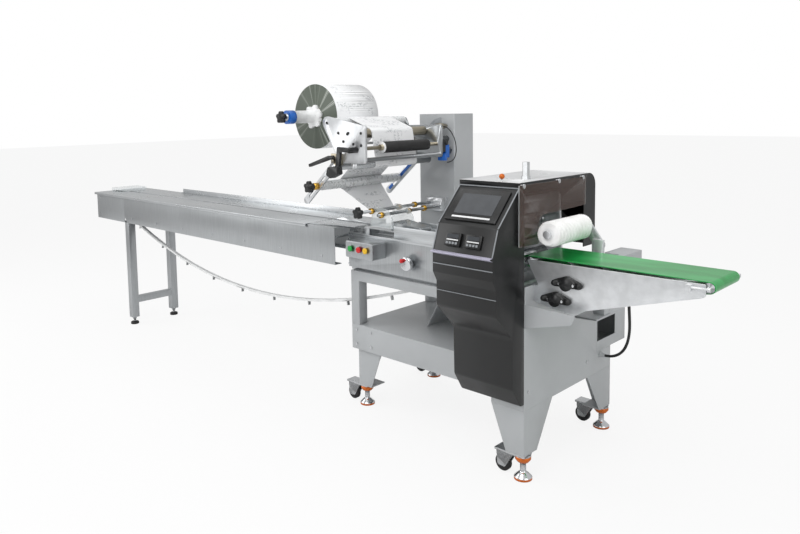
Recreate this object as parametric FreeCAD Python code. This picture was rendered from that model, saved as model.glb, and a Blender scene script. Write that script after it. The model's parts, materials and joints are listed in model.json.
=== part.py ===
"""Horizontal flow wrapper: lugged infeed, film feed head, folding box, end sealer and belt outfeed.

Product travels along +X, the operator stands on the -Y side and +Z is up. While it is modelled, X is 0 at the
left edge of the front left foot, Y is 0 on the product line and Z is 0 on the floor. Before export everything is
moved so that the origin is under the middle of the whole machine. All sizes are in millimetres.
"""
import FreeCAD, Part
import math
import os
from FreeCAD import Vector

# ---- Driving dimensions: base --------------------------------------------------------------------------------
BASE_LEFT, BASE_RIGHT = -51, 922    # outer side faces of the base
BASE_REAR = 480                     # outer rear face
FILM_FRONT = -80                    # front face under the film section
SEALER_FRONT = -167                 # front face under the end sealer, which is deeper
SEALER_LEFT = 664                   # where the end sealer section starts
FRAME_TOP = 625                     # top of the welded frame
RAIL_WIDTH, RAIL_DEPTH = 50, 45     # frame tube
APRON_LOW, APRON_HIGH = 264, 379    # folded sheet apron that ties the legs
LEG_LOW = 94                        # underside of the legs
LEG_TOP_X, LEG_TOP_Y = 142, 192     # leg width at the apron, front face and side face
LEG_LOW_X, LEG_LOW_Y = 78, 86       # leg width at the foot plate
LEG_RECESS_X, LEG_RECESS_Y = 26, 14   # how far the left legs stand in from the apron
SHEET = 4                           # folded sheet of the base
FLANGE = 60                         # the apron's lower flange, which the legs bolt to
CABINET_LOW = 290                   # lower edge of the control cabinet, where the apron behind it stops

# ---- Levelling casters ---------------------------------------------------------------------------------------
FOOT_INSET_X, FOOT_INSET_Y = 22, 29   # foot axis from the outer corner of its leg
WHEEL_OFFSET = 84                   # wheel axis from the foot axis
WHEEL_RADIUS, WHEEL_WIDTH = 32, 24
WHEEL_LIFT = 3                      # the wheel hangs clear of the floor while the machine stands on its feet
AXLE_RADIUS = 5
RUNNING_FIT = 0.05                  # radial clearance of a wheel, roller or jaw on its shaft
CASTER_PLATE = 7

# ---- Infeed --------------------------------------------------------------------------------------------------
INFEED_TAIL = -2440                 # free end of the tray
PANEL_TAIL = -2429                  # free end of the side panels
STAND_X = -2030                     # axis of the stand's legs
TRAY_TOP = 829                      # product height
TRAY_HALF = 177                     # half width over the tray's lips
TRAY_LIP = 14
TRAY_END = -249
PANEL_Y = 166                       # outer face of the side panels
PANEL_LOW = 659
PANEL_FLANGE = 40
INFEED_SHEET = 3
TAIL_STEP = 1.5                     # how far the tail's panels stand in from the others
SLOT_HALF = 11                      # the pusher slot along the tray
FENCE_LEFT, FENCE_RIGHT, FENCE_HEIGHT = -1901, -230, 25
TAIL_BLOCK_LENGTH, TAIL_BLOCK_HEIGHT = 130, 22
STAND_TUBE = 46
STAND_LEG_Y = 140
STAND_LEG_LOW = 45
CROSSBAR_LOW, CROSSBAR_DEPTH = 137, 40

# ---- Pusher chain --------------------------------------------------------------------------------------------
CHAIN_HEIGHT, CHAIN_WIDTH = 12, 18
CHAIN_RADIUS = 52                   # pitch radius of the sprockets
CHAIN_TOP = 812                     # centre line of the carrying run
CHAIN_TAIL_X, CHAIN_HEAD_X = -2360, 330
CHAIN_IDLER_Z = 645                 # guide pulley under the head sprocket
SAG_X, SAG_Z, SAG_RATE = -890, 373, 1.479e-4   # lowest point and curvature of the hanging return run
LUG_PITCH, LUG_HEIGHT, LUG_LENGTH = 285.5, 20, 5
LUG_START = -2161                   # first lug on the hanging run

# ---- Upper body ----------------------------------------------------------------------------------------------
BODY_LEFT = -62
BODY_LOW, BODY_TOP = 641, 784       # stainless front panel
BODY_KICK = 18                      # how far the panel's foot stands back over the frame
BODY_REAR = 330
DECK_TOP = 796
BUTTON_BOX = (5, 170, 706, 778)     # x and z span of the push-button box
BUTTON_BOX_DEPTH = 82
BUTTON_RADIUS, BUTTON_PROUD, BUTTON_TRAVEL = 13, 12, 4
BUTTON_XS = {"start_button": 40, "stop_button": 92, "inch_button": 132}
HANDWHEEL_X, HANDWHEEL_Z, HANDWHEEL_RADIUS = 311, 705, 30

# ---- Film head -----------------------------------------------------------------------------------------------
COLUMN_LEFT, COLUMN_RIGHT = 6, 219
COLUMN_FRONT, COLUMN_TOP = 336, 1319
FILM_HALF = 130                     # half width of the film
FILM_THICK = 1.5
FILM_GAP = 0.35                     # between the film and what it runs on
HEAD_FRONT, HEAD_REAR = -250, 240   # outer faces of the film head's two plates
HEAD_PLATE = 10
REEL_X, REEL_Z, REEL_RADIUS = -212, 1318, 146
CORE_RADIUS, CORE_WALL = 44, 6
REEL_SHAFT_RADIUS = 16
REEL_SHAFT_FRONT, REEL_SHAFT_REAR = -304, 164
SLEEVE_RADIUS, SLEEVE_FRONT = 28, -262   # tube of the front chuck, and the clamping ring in front of it
RING_RADIUS, RING_FRONT = 30, -298
REEL_ARM = 12                       # plate that carries the reel shaft
IDLER = (0, 1292, 20)               # each roller: x, z and radius
WRAP_ROLLER = (125, 1246, 20)
RUBBER_ROLLER = (200, 1187, 24)
LOWER_ROLLER = (150, 1118, 18)
DANCER_ROLLER = (-47, 1022, 20)
ROLLER_SHAFT = 8
ARM_TOP = (50, 1108)                # where the dancer arms are clamped
ARM_LOW = (-122, 956)
ARM_WIDTH, ARM_THICK = 34, 8
ARM_SLEEVE = 16                     # guide sleeve on the arms' upper shaft
DANCER_FRONT, DANCER_REAR = -270, 258   # outer faces of the dancer arms

# ---- Folding box ---------------------------------------------------------------------------------------------
FOLD_X, FOLD_Z = 70, 905            # where the film breaks over the folding box
FOLD_LEFT, FOLD_RIGHT = 40, 200
FOLD_HALF = 62
ROD_RADIUS = 7
ROD_ZS = ((92, 905), (150, 893))    # x and z of the transverse rods
ROD_FRONT, ROD_STEP = -145, 40      # front end of the first rod, and how much shorter the next is
CHANNEL_HALF = 78

# ---- Control cabinet and end sealer --------------------------------------------------------------------------
CABINET_TOP = 1065
HOOD_TOP = 1085
HOOD_FRONT, HOOD_REAR, HOOD_LOW = -197, 335, 800
HOOD_RADIUS, HOOD_FRAME = 50, 20
PANE_X, PANE_THICK = 930, 5
WINDOW_REAR = 245                   # rear edge of the opening behind the window
HOOD_KNOB, SPRING_POST = (846, -192), (861, -63)   # x and y of the fittings on the hood
JAW_X = 795
JAW_LOW_Z, JAW_HIGH_Z = 766, 912    # axes of the two jaw shafts
JAW_GAP = 5                         # between the jaws when they meet
JAW_HALF = 105
JAW_SHAFT = 15
JAW_BLADE = 14                      # half thickness of a jaw's blade
SEALER_PLATE_Y, SEALER_PLATE = 140, 12

# ---- Outfeed -------------------------------------------------------------------------------------------------
BELT_TOP, BELT_HALF, BELT_THICK = 816, 101, 2.5
OUTFEED_END = 1540
OUTFEED_START = 880
END_RADIUS = 16
DRIVE = (1061, 740, 25)
LOWER_SHAFT = (1019, 679)
OUTFEED_PLATE_Y = 111               # inner face of the outfeed's side plates
OUTFEED_SHEET = 4
BRACKET_OUT = 1119
DRIVE_COVER = (1064, 1146, 142, 268, 702, 812)   # box of the drive behind the outfeed belt

# ---- Brush ---------------------------------------------------------------------------------------------------
BRUSH_X, BRUSH_Z, BRUSH_RADIUS = 1000, 908, 46
BRUSH_FRONT, BRUSH_REAR = -140, 92
BRUSH_PIVOT = (1048, 838)
BRUSH_SHAFT = 7
BRUSH_ARM_Y = 128

# ---- Cables --------------------------------------------------------------------------------------------------
CABLE_RADIUS = 5.5
CABLE_POINTS = [
    (BASE_RIGHT + 24, 387, 334), (980, 387, 334), (1050, 352, 376), (1100, 290, 500), (1124, 212, 610),
    (1124, 212, 690),
]
SENSOR_CABLE_RADIUS = 2.2
SENSOR_AT = (190, 1264)             # axis of the print-mark sensor
SENSOR_CABLE_POINTS = [
    (200, 276, 1264), (226, 276, 1264), (266, 286, 1216), (260, 302, 1134), (214, 322, 1096), (180, 322, 1096),
    (180, 336, 1096),
]

X_AXIS, Y_AXIS, Z_AXIS = Vector(1, 0, 0), Vector(0, 1, 0), Vector(0, 0, 1)
AXES = {"x": X_AXIS, "y": Y_AXIS, "z": Z_AXIS}


# ---- Shape helpers -------------------------------------------------------------------------------------------
def box(x0, x1, y0, y1, z0, z1):
    return Part.makeBox(x1 - x0, y1 - y0, z1 - z0, Vector(x0, y0, z0))


def rod(axis, centre, radius, start, end, bore=0):
    """Cylinder along an axis from start to end; centre gives the other two coordinates in X, Y, Z order."""
    place = list(centre)
    place.insert("xyz".index(axis), start)
    solid = Part.makeCylinder(radius, end - start, Vector(*place), AXES[axis])
    if bore:
        solid = solid.cut(Part.makeCylinder(bore, end - start, Vector(*place), AXES[axis]))
    return solid


def spot(plane, u, v, w):
    return {"xy": Vector(u, v, w), "xz": Vector(u, w, v), "yz": Vector(w, u, v)}[plane]


def rounded(corners, radii):
    """Closed wire through the corners, each rounded by its own radius or all by one."""
    if not isinstance(radii, (list, tuple)):
        radii = [radii] * len(corners)
    edges, joins = [], []
    for i, corner in enumerate(corners):
        before = (corners[i - 1] - corner).normalize()
        after = (corners[(i + 1) % len(corners)] - corner).normalize()
        if radii[i] <= 0:
            joins.append((corner, corner))
            continue
        half = before.getAngle(after) / 2
        back = radii[i] / math.tan(half)
        start, end = corner + before * back, corner + after * back
        middle_line = (before + after).normalize()
        middle = corner + middle_line * (radii[i] / math.sin(half) - radii[i])
        edges.append(Part.Arc(start, middle, end).toShape())
        joins.append((start, end))
    for i, (_, end) in enumerate(joins):
        start = joins[(i + 1) % len(joins)][0]
        if end.distanceToPoint(start) > 1e-6:
            edges.append(Part.makeLine(end, start))
    return Part.Wire(Part.__sortEdges__(edges))


def plate(plane, points, start, end, radii=0, holes=()):
    """Flat plate: an outline in a plane, extruded along the plane's normal from start to end."""
    normal = {"xy": Z_AXIS, "xz": Y_AXIS, "yz": X_AXIS}[plane]
    face = Part.Face(rounded([spot(plane, u, v, start) for u, v in points], radii))
    solid = face.extrude(normal * (end - start))
    for u, v, radius in holes:
        solid = solid.cut(Part.makeCylinder(radius, end - start, spot(plane, u, v, start), normal))
    return solid


def turned(axis, centre, profile):
    """Solid of revolution; the profile lists (position along the axis, radius)."""
    place = list(centre)
    place.insert("xyz".index(axis), 0)
    across = {"x": Y_AXIS, "y": Z_AXIS, "z": X_AXIS}[axis]
    along = AXES[axis]
    points = [Vector(*place) + along * s + across * r for s, r in profile]
    face = Part.Face(Part.makePolygon(points + [points[0]]))
    return face.revolve(Vector(*place), along, 360)


def fuse(*solids):
    return solids[0].multiFuse(list(solids[1:])).removeSplitter()


def mirrored(solid):
    """The same piece on the far side of the product line."""
    return solid.mirror(Vector(0, 0, 0), Y_AXIS)


def tangents(circles, closed):
    """Points where a web leaves and meets circles (x, z, r) passed in turn.

    A positive radius is passed clockwise, seen with X to the right and Z up, and a negative one the other way.
    """
    pairs = list(zip(circles, circles[1:] + circles[:1]))
    if not closed:
        pairs.pop()
    spans = []
    for (x0, z0, r0), (x1, z1, r1) in pairs:
        length = math.hypot(x1 - x0, z1 - z0)
        ux, uz = (x1 - x0) / length, (z1 - z0) / length
        cosine = (r0 - r1) / length
        sine = math.sqrt(1 - cosine * cosine)
        nx, nz = cosine * ux - sine * uz, cosine * uz + sine * ux
        spans.append(((x0 + r0 * nx, z0 + r0 * nz), (x1 + r1 * nx, z1 + r1 * nz)))
    return spans


def bend(circle, start, end):
    """Arc round a circle from start to end, in the circle's own sense."""
    x, z, radius = circle
    first = math.atan2(start[1] - z, start[0] - x)
    last = math.atan2(end[1] - z, end[0] - x)
    if radius > 0:
        middle = first - ((first - last) % (2 * math.pi)) / 2
    else:
        middle = first + ((last - first) % (2 * math.pi)) / 2
    top = (x + abs(radius) * math.cos(middle), z + abs(radius) * math.sin(middle))
    return Part.Arc(*[Vector(px, 0, pz) for px, pz in (start, top, end)]).toShape()


def web_edges(circles, closed):
    """Straight runs and arcs of a web or belt that passes the circles in turn."""
    spans = tangents(circles, closed)
    edges = []
    for i, (start, end) in enumerate(spans):
        edges.append(Part.makeLine(Vector(start[0], 0, start[1]), Vector(end[0], 0, end[1])))
        if closed or i + 1 < len(spans):
            edges.append(bend(circles[(i + 1) % len(circles)], end, spans[(i + 1) % len(spans)][0]))
    return edges


def hull_plate(circles, start, end):
    """Plate in the XZ plane whose outline wraps the circles, given clockwise."""
    face = Part.Face(Part.Wire(Part.__sortEdges__(web_edges(circles, True))))
    solid = face.extrude(Y_AXIS * (end - start))
    solid.translate(Vector(0, start, 0))
    return solid


def cable(points, radius):
    """Round cable along straight runs joined by the largest arcs that the runs allow."""
    corners = [Vector(*p) for p in points]
    edges, last = [], corners[0]
    for before, corner, after in zip(corners, corners[1:], corners[2:]):
        back, ahead = (before - corner), (after - corner)
        reach = 0.45 * min(back.Length, ahead.Length)
        back.normalize()
        ahead.normalize()
        half = back.getAngle(ahead) / 2
        bend_radius = reach * math.tan(half)
        start, end = corner + back * reach, corner + ahead * reach
        middle = corner + (back + ahead).normalize() * (bend_radius / math.sin(half) - bend_radius)
        edges += [Part.makeLine(last, start), Part.Arc(start, middle, end).toShape()]
        last = end
        print(f"cable {2 * radius:g} mm: bend radius {bend_radius:.0f} mm")
    edges.append(Part.makeLine(last, corners[-1]))
    path = Part.Wire(edges)
    section = Part.Wire(Part.makeCircle(radius, corners[0], corners[1] - corners[0]))
    return path.makePipeShell([section], True, True)


# ---- Base ----------------------------------------------------------------------------------------------------
def base():
    low, high = FRAME_TOP - RAIL_DEPTH, FRAME_TOP
    inner_right = BASE_RIGHT - SHEET
    rails = [
        box(BASE_LEFT, SEALER_LEFT + RAIL_WIDTH, FILM_FRONT, FILM_FRONT + RAIL_WIDTH, low, high),
        box(SEALER_LEFT, inner_right, SEALER_FRONT, SEALER_FRONT + RAIL_WIDTH, low, high),
        box(BASE_LEFT, inner_right, BASE_REAR - RAIL_WIDTH, BASE_REAR, low, high),
        box(BASE_LEFT + RAIL_WIDTH, SEALER_LEFT, COLUMN_FRONT, COLUMN_FRONT + RAIL_WIDTH, low, high),
        box(BASE_LEFT, BASE_LEFT + RAIL_WIDTH, FILM_FRONT, BASE_REAR, low, high),
        box(SEALER_LEFT, SEALER_LEFT + RAIL_WIDTH, SEALER_FRONT, BASE_REAR, low, high),
        box(inner_right - RAIL_WIDTH, inner_right, SEALER_FRONT, BASE_REAR, low, high),
    ]
    posts = [
        box(x, x + RAIL_WIDTH, y, y + RAIL_WIDTH, foot, low)
        for x, y, foot in (
            (BASE_LEFT, FILM_FRONT, APRON_HIGH), (BASE_LEFT, BASE_REAR - RAIL_WIDTH, APRON_HIGH),
            (inner_right - RAIL_WIDTH, SEALER_FRONT, APRON_HIGH),
            (inner_right - RAIL_WIDTH, BASE_REAR - RAIL_WIDTH, REAR_BOX_HIGH),
            (SEALER_LEFT, SEALER_FRONT, APRON_HIGH), (SEALER_LEFT - RAIL_WIDTH, BASE_REAR - RAIL_WIDTH, APRON_HIGH),
        )
    ]
    plan = [(BASE_LEFT, FILM_FRONT), (SEALER_LEFT, FILM_FRONT), (SEALER_LEFT, SEALER_FRONT),
            (inner_right, SEALER_FRONT), (inner_right, BASE_REAR), (BASE_LEFT, BASE_REAR)]
    t = SHEET
    inner_plan = [(BASE_LEFT + t, FILM_FRONT + t), (SEALER_LEFT + t, FILM_FRONT + t),
                  (SEALER_LEFT + t, SEALER_FRONT + t), (inner_right - t, SEALER_FRONT + t),
                  (inner_right - t, BASE_REAR - t), (BASE_LEFT + t, BASE_REAR - t)]
    apron = plate("xy", plan, APRON_LOW, APRON_HIGH)
    apron = apron.cut(plate("xy", inner_plan, APRON_LOW + t, APRON_HIGH - t))
    apron = apron.cut(box(BASE_LEFT + FLANGE, inner_right - FLANGE, FILM_FRONT + FLANGE, BASE_REAR - FLANGE,
                          APRON_LOW, APRON_LOW + t))
    apron = apron.cut(box(SEALER_LEFT, BASE_RIGHT - LEG_TOP_X, SEALER_FRONT, FILM_FRONT, APRON_LOW, CABINET_LOW))
    apron = apron.cut(box(REAR_BOX_LEFT, BASE_RIGHT, REAR_BOX_FRONT, REAR_BOX_REAR, REAR_BOX_LOW, REAR_BOX_HIGH))
    side = [(SEALER_FRONT, APRON_LOW), (SEALER_FRONT, FRAME_TOP + 27), (OUTFEED_PLATE_Y, FRAME_TOP + 27),
            (186, 530), (REAR_BOX_FRONT, 479), (REAR_BOX_FRONT, REAR_BOX_LOW), (BASE_REAR, REAR_BOX_LOW),
            (BASE_REAR, APRON_LOW)]
    gland_y, gland_z = CABLE_POINTS[0][1:]
    gland = turned("x", (gland_y, gland_z), [
        (BASE_RIGHT - 1, 0), (BASE_RIGHT - 1, 12), (BASE_RIGHT + 8, 12), (BASE_RIGHT + 10, 9),
        (CABLE_POINTS[0][0], CABLE_RADIUS + 2), (CABLE_POINTS[0][0], 0)])
    side_panel = fuse(plate("yz", side, inner_right, BASE_RIGHT), gland)
    chute = plate("xz", [(360, FRAME_TOP - RAIL_DEPTH), (366, FRAME_TOP - RAIL_DEPTH), (298, 470),
                         (246, APRON_HIGH), (240, APRON_HIGH), (292, 470)], 100, 330)
    return {
        "base_frame": [fuse(*rails, *posts)],
        "lower_apron": [fuse(apron, chute)],
        "side_panel": [side_panel],
    }


def leg(corner_x, corner_y, inward_x, inward_y, recess_x, recess_y):
    """Tapered corner leg: an outer taper less an inner one, open to the inside, closed by a foot plate."""
    def section(z, shift, wide_x, wide_y):
        x0, y0 = corner_x + inward_x * (recess_x + shift), corner_y + inward_y * (recess_y + shift)
        x1, y1 = x0 + inward_x * wide_x, y0 + inward_y * wide_y
        return Part.makePolygon([Vector(*p, z) for p in ((x0, y0), (x1, y0), (x1, y1), (x0, y1), (x0, y0))])
    outer = Part.makeLoft([section(LEG_LOW, 0, LEG_LOW_X, LEG_LOW_Y), section(APRON_LOW, 0, LEG_TOP_X, LEG_TOP_Y)],
                          True, True)
    inner = Part.makeLoft([section(LEG_LOW + SHEET, SHEET, LEG_TOP_X, LEG_TOP_Y),
                           section(APRON_LOW, SHEET, LEG_TOP_X, LEG_TOP_Y)], True, True)
    return outer.cut(inner)


def corners():
    """Outer corner, inward directions and recess of each leg."""
    return [
        (BASE_LEFT, FILM_FRONT, 1, 1, LEG_RECESS_X, LEG_RECESS_Y),
        (BASE_LEFT, BASE_REAR, 1, -1, LEG_RECESS_X, LEG_RECESS_Y),
        (BASE_RIGHT, SEALER_FRONT, -1, 1, 0, 0),
        (BASE_RIGHT, BASE_REAR, -1, -1, 0, 0),
    ]


def feet():
    """Axis of each levelling foot, front left, rear left, front right, rear right."""
    return [(x + dx * (rx + FOOT_INSET_X), y + dy * (ry + FOOT_INSET_Y)) for x, y, dx, dy, rx, ry in corners()]


def casters():
    made = {"legs": [leg(*c) for c in corners()], "levelling_casters": []}
    wheel_z = WHEEL_RADIUS + WHEEL_LIFT
    plate_low = LEG_LOW - CASTER_PLATE
    cheek_in, cheek_out = WHEEL_WIDTH / 2 + 2, WHEEL_WIDTH / 2 + 5
    for name, (x, y) in zip(("front_left", "rear_left", "front_right", "rear_right"), feet()):
        wheel_x = x - WHEEL_OFFSET
        top = box(wheel_x - 24, x + 20, y - 26, y + 26, plate_low, LEG_LOW)
        cheeks = []
        for side in (-1, 1):
            outline = [(wheel_x - 16, wheel_z - 10), (wheel_x + 16, wheel_z - 10), (x - 30, plate_low),
                       (wheel_x - 22, plate_low)]
            near, far = sorted((y + side * cheek_in, y + side * cheek_out))
            cheeks.append(plate("xz", outline, near, far, [9, 9, 0, 0]))
        axle = rod("y", (wheel_x, wheel_z), AXLE_RADIUS, y - cheek_out, y + cheek_out)
        wheel = turned("y", (wheel_x, wheel_z), [
            (y + s, r) for s, r in (
                (-WHEEL_WIDTH / 2, AXLE_RADIUS + RUNNING_FIT), (-WHEEL_WIDTH / 2, WHEEL_RADIUS - 6),
                (-WHEEL_WIDTH / 2 + 5, WHEEL_RADIUS), (WHEEL_WIDTH / 2 - 5, WHEEL_RADIUS),
                (WHEEL_WIDTH / 2, WHEEL_RADIUS - 6), (WHEEL_WIDTH / 2, AXLE_RADIUS + RUNNING_FIT))])
        made["caster_wheel_" + name] = [wheel]
        ring_low = plate_low - 22
        foot = turned("z", (x, y), [
            (0, 0), (0, 33), (8, 33), (23, 18), (28, 11), (ring_low, 11), (ring_low, 21), (ring_low + 10, 29),
            (plate_low, 29), (plate_low, 0)])
        made["levelling_casters"].append(fuse(top, *cheeks, axle, foot))
    return made


# ---- Rear box ------------------------------------------------------------------------------------------------
REAR_BOX_LEFT, REAR_BOX_FRONT, REAR_BOX_REAR = 668, 358, 609
REAR_BOX_LOW, REAR_BOX_HIGH = 350, 484
REAR_WINDOW = (366, 520, 392, 476)


def rear_box():
    shell = box(REAR_BOX_LEFT, BASE_RIGHT, REAR_BOX_FRONT, REAR_BOX_REAR, REAR_BOX_LOW, REAR_BOX_HIGH)
    shell = shell.cut(box(REAR_BOX_LEFT + SHEET, BASE_RIGHT - SHEET, REAR_BOX_FRONT + SHEET, REAR_BOX_REAR - SHEET,
                          REAR_BOX_LOW + SHEET, REAR_BOX_HIGH - SHEET))
    y0, y1, z0, z1 = REAR_WINDOW
    shell = shell.cut(box(BASE_RIGHT - 2 * SHEET, BASE_RIGHT, y0, y1, z0, z1))
    motor_z = 540
    motor = fuse(rod("x", (180, motor_z), 62, 400, 590), rod("x", (180, motor_z), 70, 430, 560),
                 box(590, SEALER_LEFT, 120, 240, motor_z - 60, motor_z + 60),
                 box(430, 560, 150, 210, motor_z + 50, FRAME_TOP - 1))
    return {"rear_box": [shell], "drive_motor": [motor]}


# ---- Infeed --------------------------------------------------------------------------------------------------
def infeed():
    t, top = INFEED_SHEET, TRAY_TOP - INFEED_SHEET
    channel = [(-PANEL_Y, PANEL_LOW), (-PANEL_Y + PANEL_FLANGE, PANEL_LOW), (-PANEL_Y + PANEL_FLANGE, PANEL_LOW + t),
               (-PANEL_Y + t, PANEL_LOW + t), (-PANEL_Y + t, top - t), (-PANEL_Y + 26, top - t), (-PANEL_Y + 26, top),
               (-PANEL_Y, top)]
    split = STAND_X - STAND_TUBE / 2
    panel = plate("yz", channel, split, BODY_LEFT)
    corner = 40
    notch = plate("xz", [(split, PANEL_LOW), (split + corner, PANEL_LOW), (split, PANEL_LOW + corner)],
                  -PANEL_Y - 1, -PANEL_Y + PANEL_FLANGE + 1)
    panel = panel.cut(notch)
    tail_channel = [(y + TAIL_STEP if y < -PANEL_Y + PANEL_FLANGE else y, z) for y, z in channel]
    side_panel = fuse(panel, plate("yz", tail_channel, PANEL_TAIL, split))
    lip = TRAY_TOP - TRAY_LIP
    tray = [(-TRAY_HALF, lip), (-TRAY_HALF + t, lip), (-TRAY_HALF + t, top), (-SLOT_HALF - t, top),
            (-SLOT_HALF - t, top - 8), (-SLOT_HALF, top - 8), (-SLOT_HALF, TRAY_TOP), (-TRAY_HALF, TRAY_TOP)]
    front_tray = plate("yz", tray, INFEED_TAIL, TRAY_END)
    throat = []
    for side in (-1, 1):
        outline = [(TRAY_END, side * SLOT_HALF), (TRAY_END, side * 152), (BODY_LEFT + 60, side * 96),
                   (BODY_LEFT + 60, side * SLOT_HALF)]
        throat.append(plate("xy", outline, top, TRAY_TOP))
    fence_y = TRAY_HALF
    fence = plate("yz", [(fence_y - 18, TRAY_TOP), (fence_y, TRAY_TOP), (fence_y, TRAY_TOP + FENCE_HEIGHT),
                         (fence_y - t, TRAY_TOP + FENCE_HEIGHT), (fence_y - t, TRAY_TOP + t),
                         (fence_y - 18, TRAY_TOP + t)], FENCE_LEFT, FENCE_RIGHT)
    block_left = INFEED_TAIL + 20
    block = plate("xy", [(block_left, -65), (block_left + TAIL_BLOCK_LENGTH, -65),
                         (block_left + TAIL_BLOCK_LENGTH, 121), (block_left, 121)],
                  TRAY_TOP, TRAY_TOP + TAIL_BLOCK_HEIGHT, 4)
    guide_top = CHAIN_TOP - CHAIN_HEIGHT / 2
    first, pitch = STAND_X - 20, 480
    bearers = []
    for x in range(first, BODY_LEFT - 40, pitch):
        bearers += [box(x, x + 30, -PANEL_Y + t, PANEL_Y - t, guide_top - 36, guide_top - 32),
                    box(x, x + 30, -8, 8, guide_top - 32, guide_top)]
    guide = fuse(box(CHAIN_TAIL_X + CHAIN_RADIUS + 20, BODY_LEFT - 10, -8, 8, guide_top - 8, guide_top), *bearers)
    half = STAND_TUBE / 2
    end_plate = box(PANEL_TAIL, PANEL_TAIL + t, -PANEL_Y + PANEL_FLANGE + 4, PANEL_Y - PANEL_FLANGE - 4,
                    PANEL_LOW + t, top - 20)
    end_plate = fuse(end_plate, box(PANEL_TAIL, PANEL_TAIL + 30, -PANEL_Y + t + TAIL_STEP, PANEL_Y - t - TAIL_STEP,
                                    PANEL_LOW + t, PANEL_LOW + 2 * t))
    legs = [box(STAND_X - half, STAND_X + half, y - half, y + half, STAND_LEG_LOW, PANEL_LOW)
            for y in (-STAND_LEG_Y, STAND_LEG_Y)]
    crossbar = box(STAND_X - half + 3, STAND_X + half - 3, -STAND_LEG_Y, STAND_LEG_Y,
                   CROSSBAR_LOW, CROSSBAR_LOW + CROSSBAR_DEPTH)
    pads = [turned("z", (STAND_X, y), [(0, 0), (0, 25), (12, 25), (18, 15), (20, 7), (32, 7), (32, 12), (40, 12),
                                       (40, 7), (STAND_LEG_LOW, 7), (STAND_LEG_LOW, 0)])
            for y in (-STAND_LEG_Y, STAND_LEG_Y)]
    return {
        "infeed_side_panels": [side_panel, mirrored(side_panel)],
        "infeed_crossmembers": [end_plate, guide],
        "infeed_tray": [front_tray, mirrored(front_tray), *throat],
        "infeed_fence": [fence, block],
        "infeed_stand": [fuse(*legs, crossbar)],
        "stand_feet": pads,
    }


def sag(x, offset):
    """Point of the hanging run at x, moved along its normal by an offset."""
    slope = 2 * SAG_RATE * (x - SAG_X)
    length = math.hypot(1, slope)
    z = SAG_Z + SAG_RATE * (x - SAG_X) ** 2
    return Vector(x - offset * slope / length, 0, z + offset / length)


def chain():
    """Endless pusher chain: carrying run, two sprockets, a guide pulley and the run that hangs in a long sag."""
    sprocket_z = CHAIN_TOP - CHAIN_RADIUS
    samples = [CHAIN_HEAD_X - 130 - i * (CHAIN_HEAD_X - 130 - CHAIN_TAIL_X - 140) / 8 for i in range(9)]

    def loop(offset):
        r = CHAIN_RADIUS + offset
        tail = (CHAIN_TAIL_X, sprocket_z)
        leave, meet = math.radians(-78), math.radians(-113)
        idler = (CHAIN_HEAD_X, CHAIN_IDLER_Z)
        hang_from = (idler[0] + r * math.cos(leave), idler[1] + r * math.sin(leave))
        hang_to = (tail[0] + r * math.cos(meet), tail[1] + r * math.sin(meet))
        hang = Part.BSplineCurve()
        hang.interpolate([Vector(hang_from[0], 0, hang_from[1])] + [sag(x, -offset) for x in samples]
                         + [Vector(hang_to[0], 0, hang_to[1])])
        top_left, top_right = (tail[0], CHAIN_TOP + offset), (CHAIN_HEAD_X, CHAIN_TOP + offset)
        side_high, side_low = (CHAIN_HEAD_X + r, sprocket_z), (CHAIN_HEAD_X + r, CHAIN_IDLER_Z)
        return Part.Wire([
            Part.makeLine(Vector(top_left[0], 0, top_left[1]), Vector(top_right[0], 0, top_right[1])),
            bend((CHAIN_HEAD_X, sprocket_z, r), top_right, side_high),
            Part.makeLine(Vector(side_high[0], 0, side_high[1]), Vector(side_low[0], 0, side_low[1])),
            bend((*idler, r), side_low, hang_from),
            hang.toShape(),
            bend((*tail, r), hang_to, top_left),
        ])

    half = CHAIN_HEIGHT / 2
    outer = Part.Face(loop(half)).extrude(Y_AXIS * CHAIN_WIDTH)
    band = outer.cut(Part.Face(loop(-half)).extrude(Y_AXIS * CHAIN_WIDTH))
    band.translate(Vector(0, -CHAIN_WIDTH / 2, 0))
    lugs = []
    for i in range(9):
        x = LUG_START + i * LUG_PITCH
        slope = 2 * SAG_RATE * (x - SAG_X)
        lug = box(-LUG_LENGTH / 2, LUG_LENGTH / 2, -7, 7, -LUG_HEIGHT - half, -half + 3)
        lug.rotate(Vector(0, 0, 0), Y_AXIS, -math.degrees(math.atan(slope)))
        lug.translate(sag(x, 0))
        lugs.append(lug)
    pulleys = []
    for x, z in ((CHAIN_TAIL_X, sprocket_z), (CHAIN_HEAD_X, sprocket_z), (CHAIN_HEAD_X, CHAIN_IDLER_Z)):
        wheel = fuse(rod("y", (x, z), CHAIN_RADIUS - half - 0.3, -8, 8), rod("y", (x, z), 22, -20, 20))
        reach = PANEL_Y - INFEED_SHEET - TAIL_STEP if x < BODY_LEFT else BODY_REAR - 3
        front = -reach if x < BODY_LEFT else FILM_FRONT + BODY_KICK + 4
        pulleys.append(fuse(wheel, rod("y", (x, z), 10, front, reach)))
    return {"pusher_chain": [fuse(band, *lugs)], "chain_pulleys": pulleys}


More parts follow.
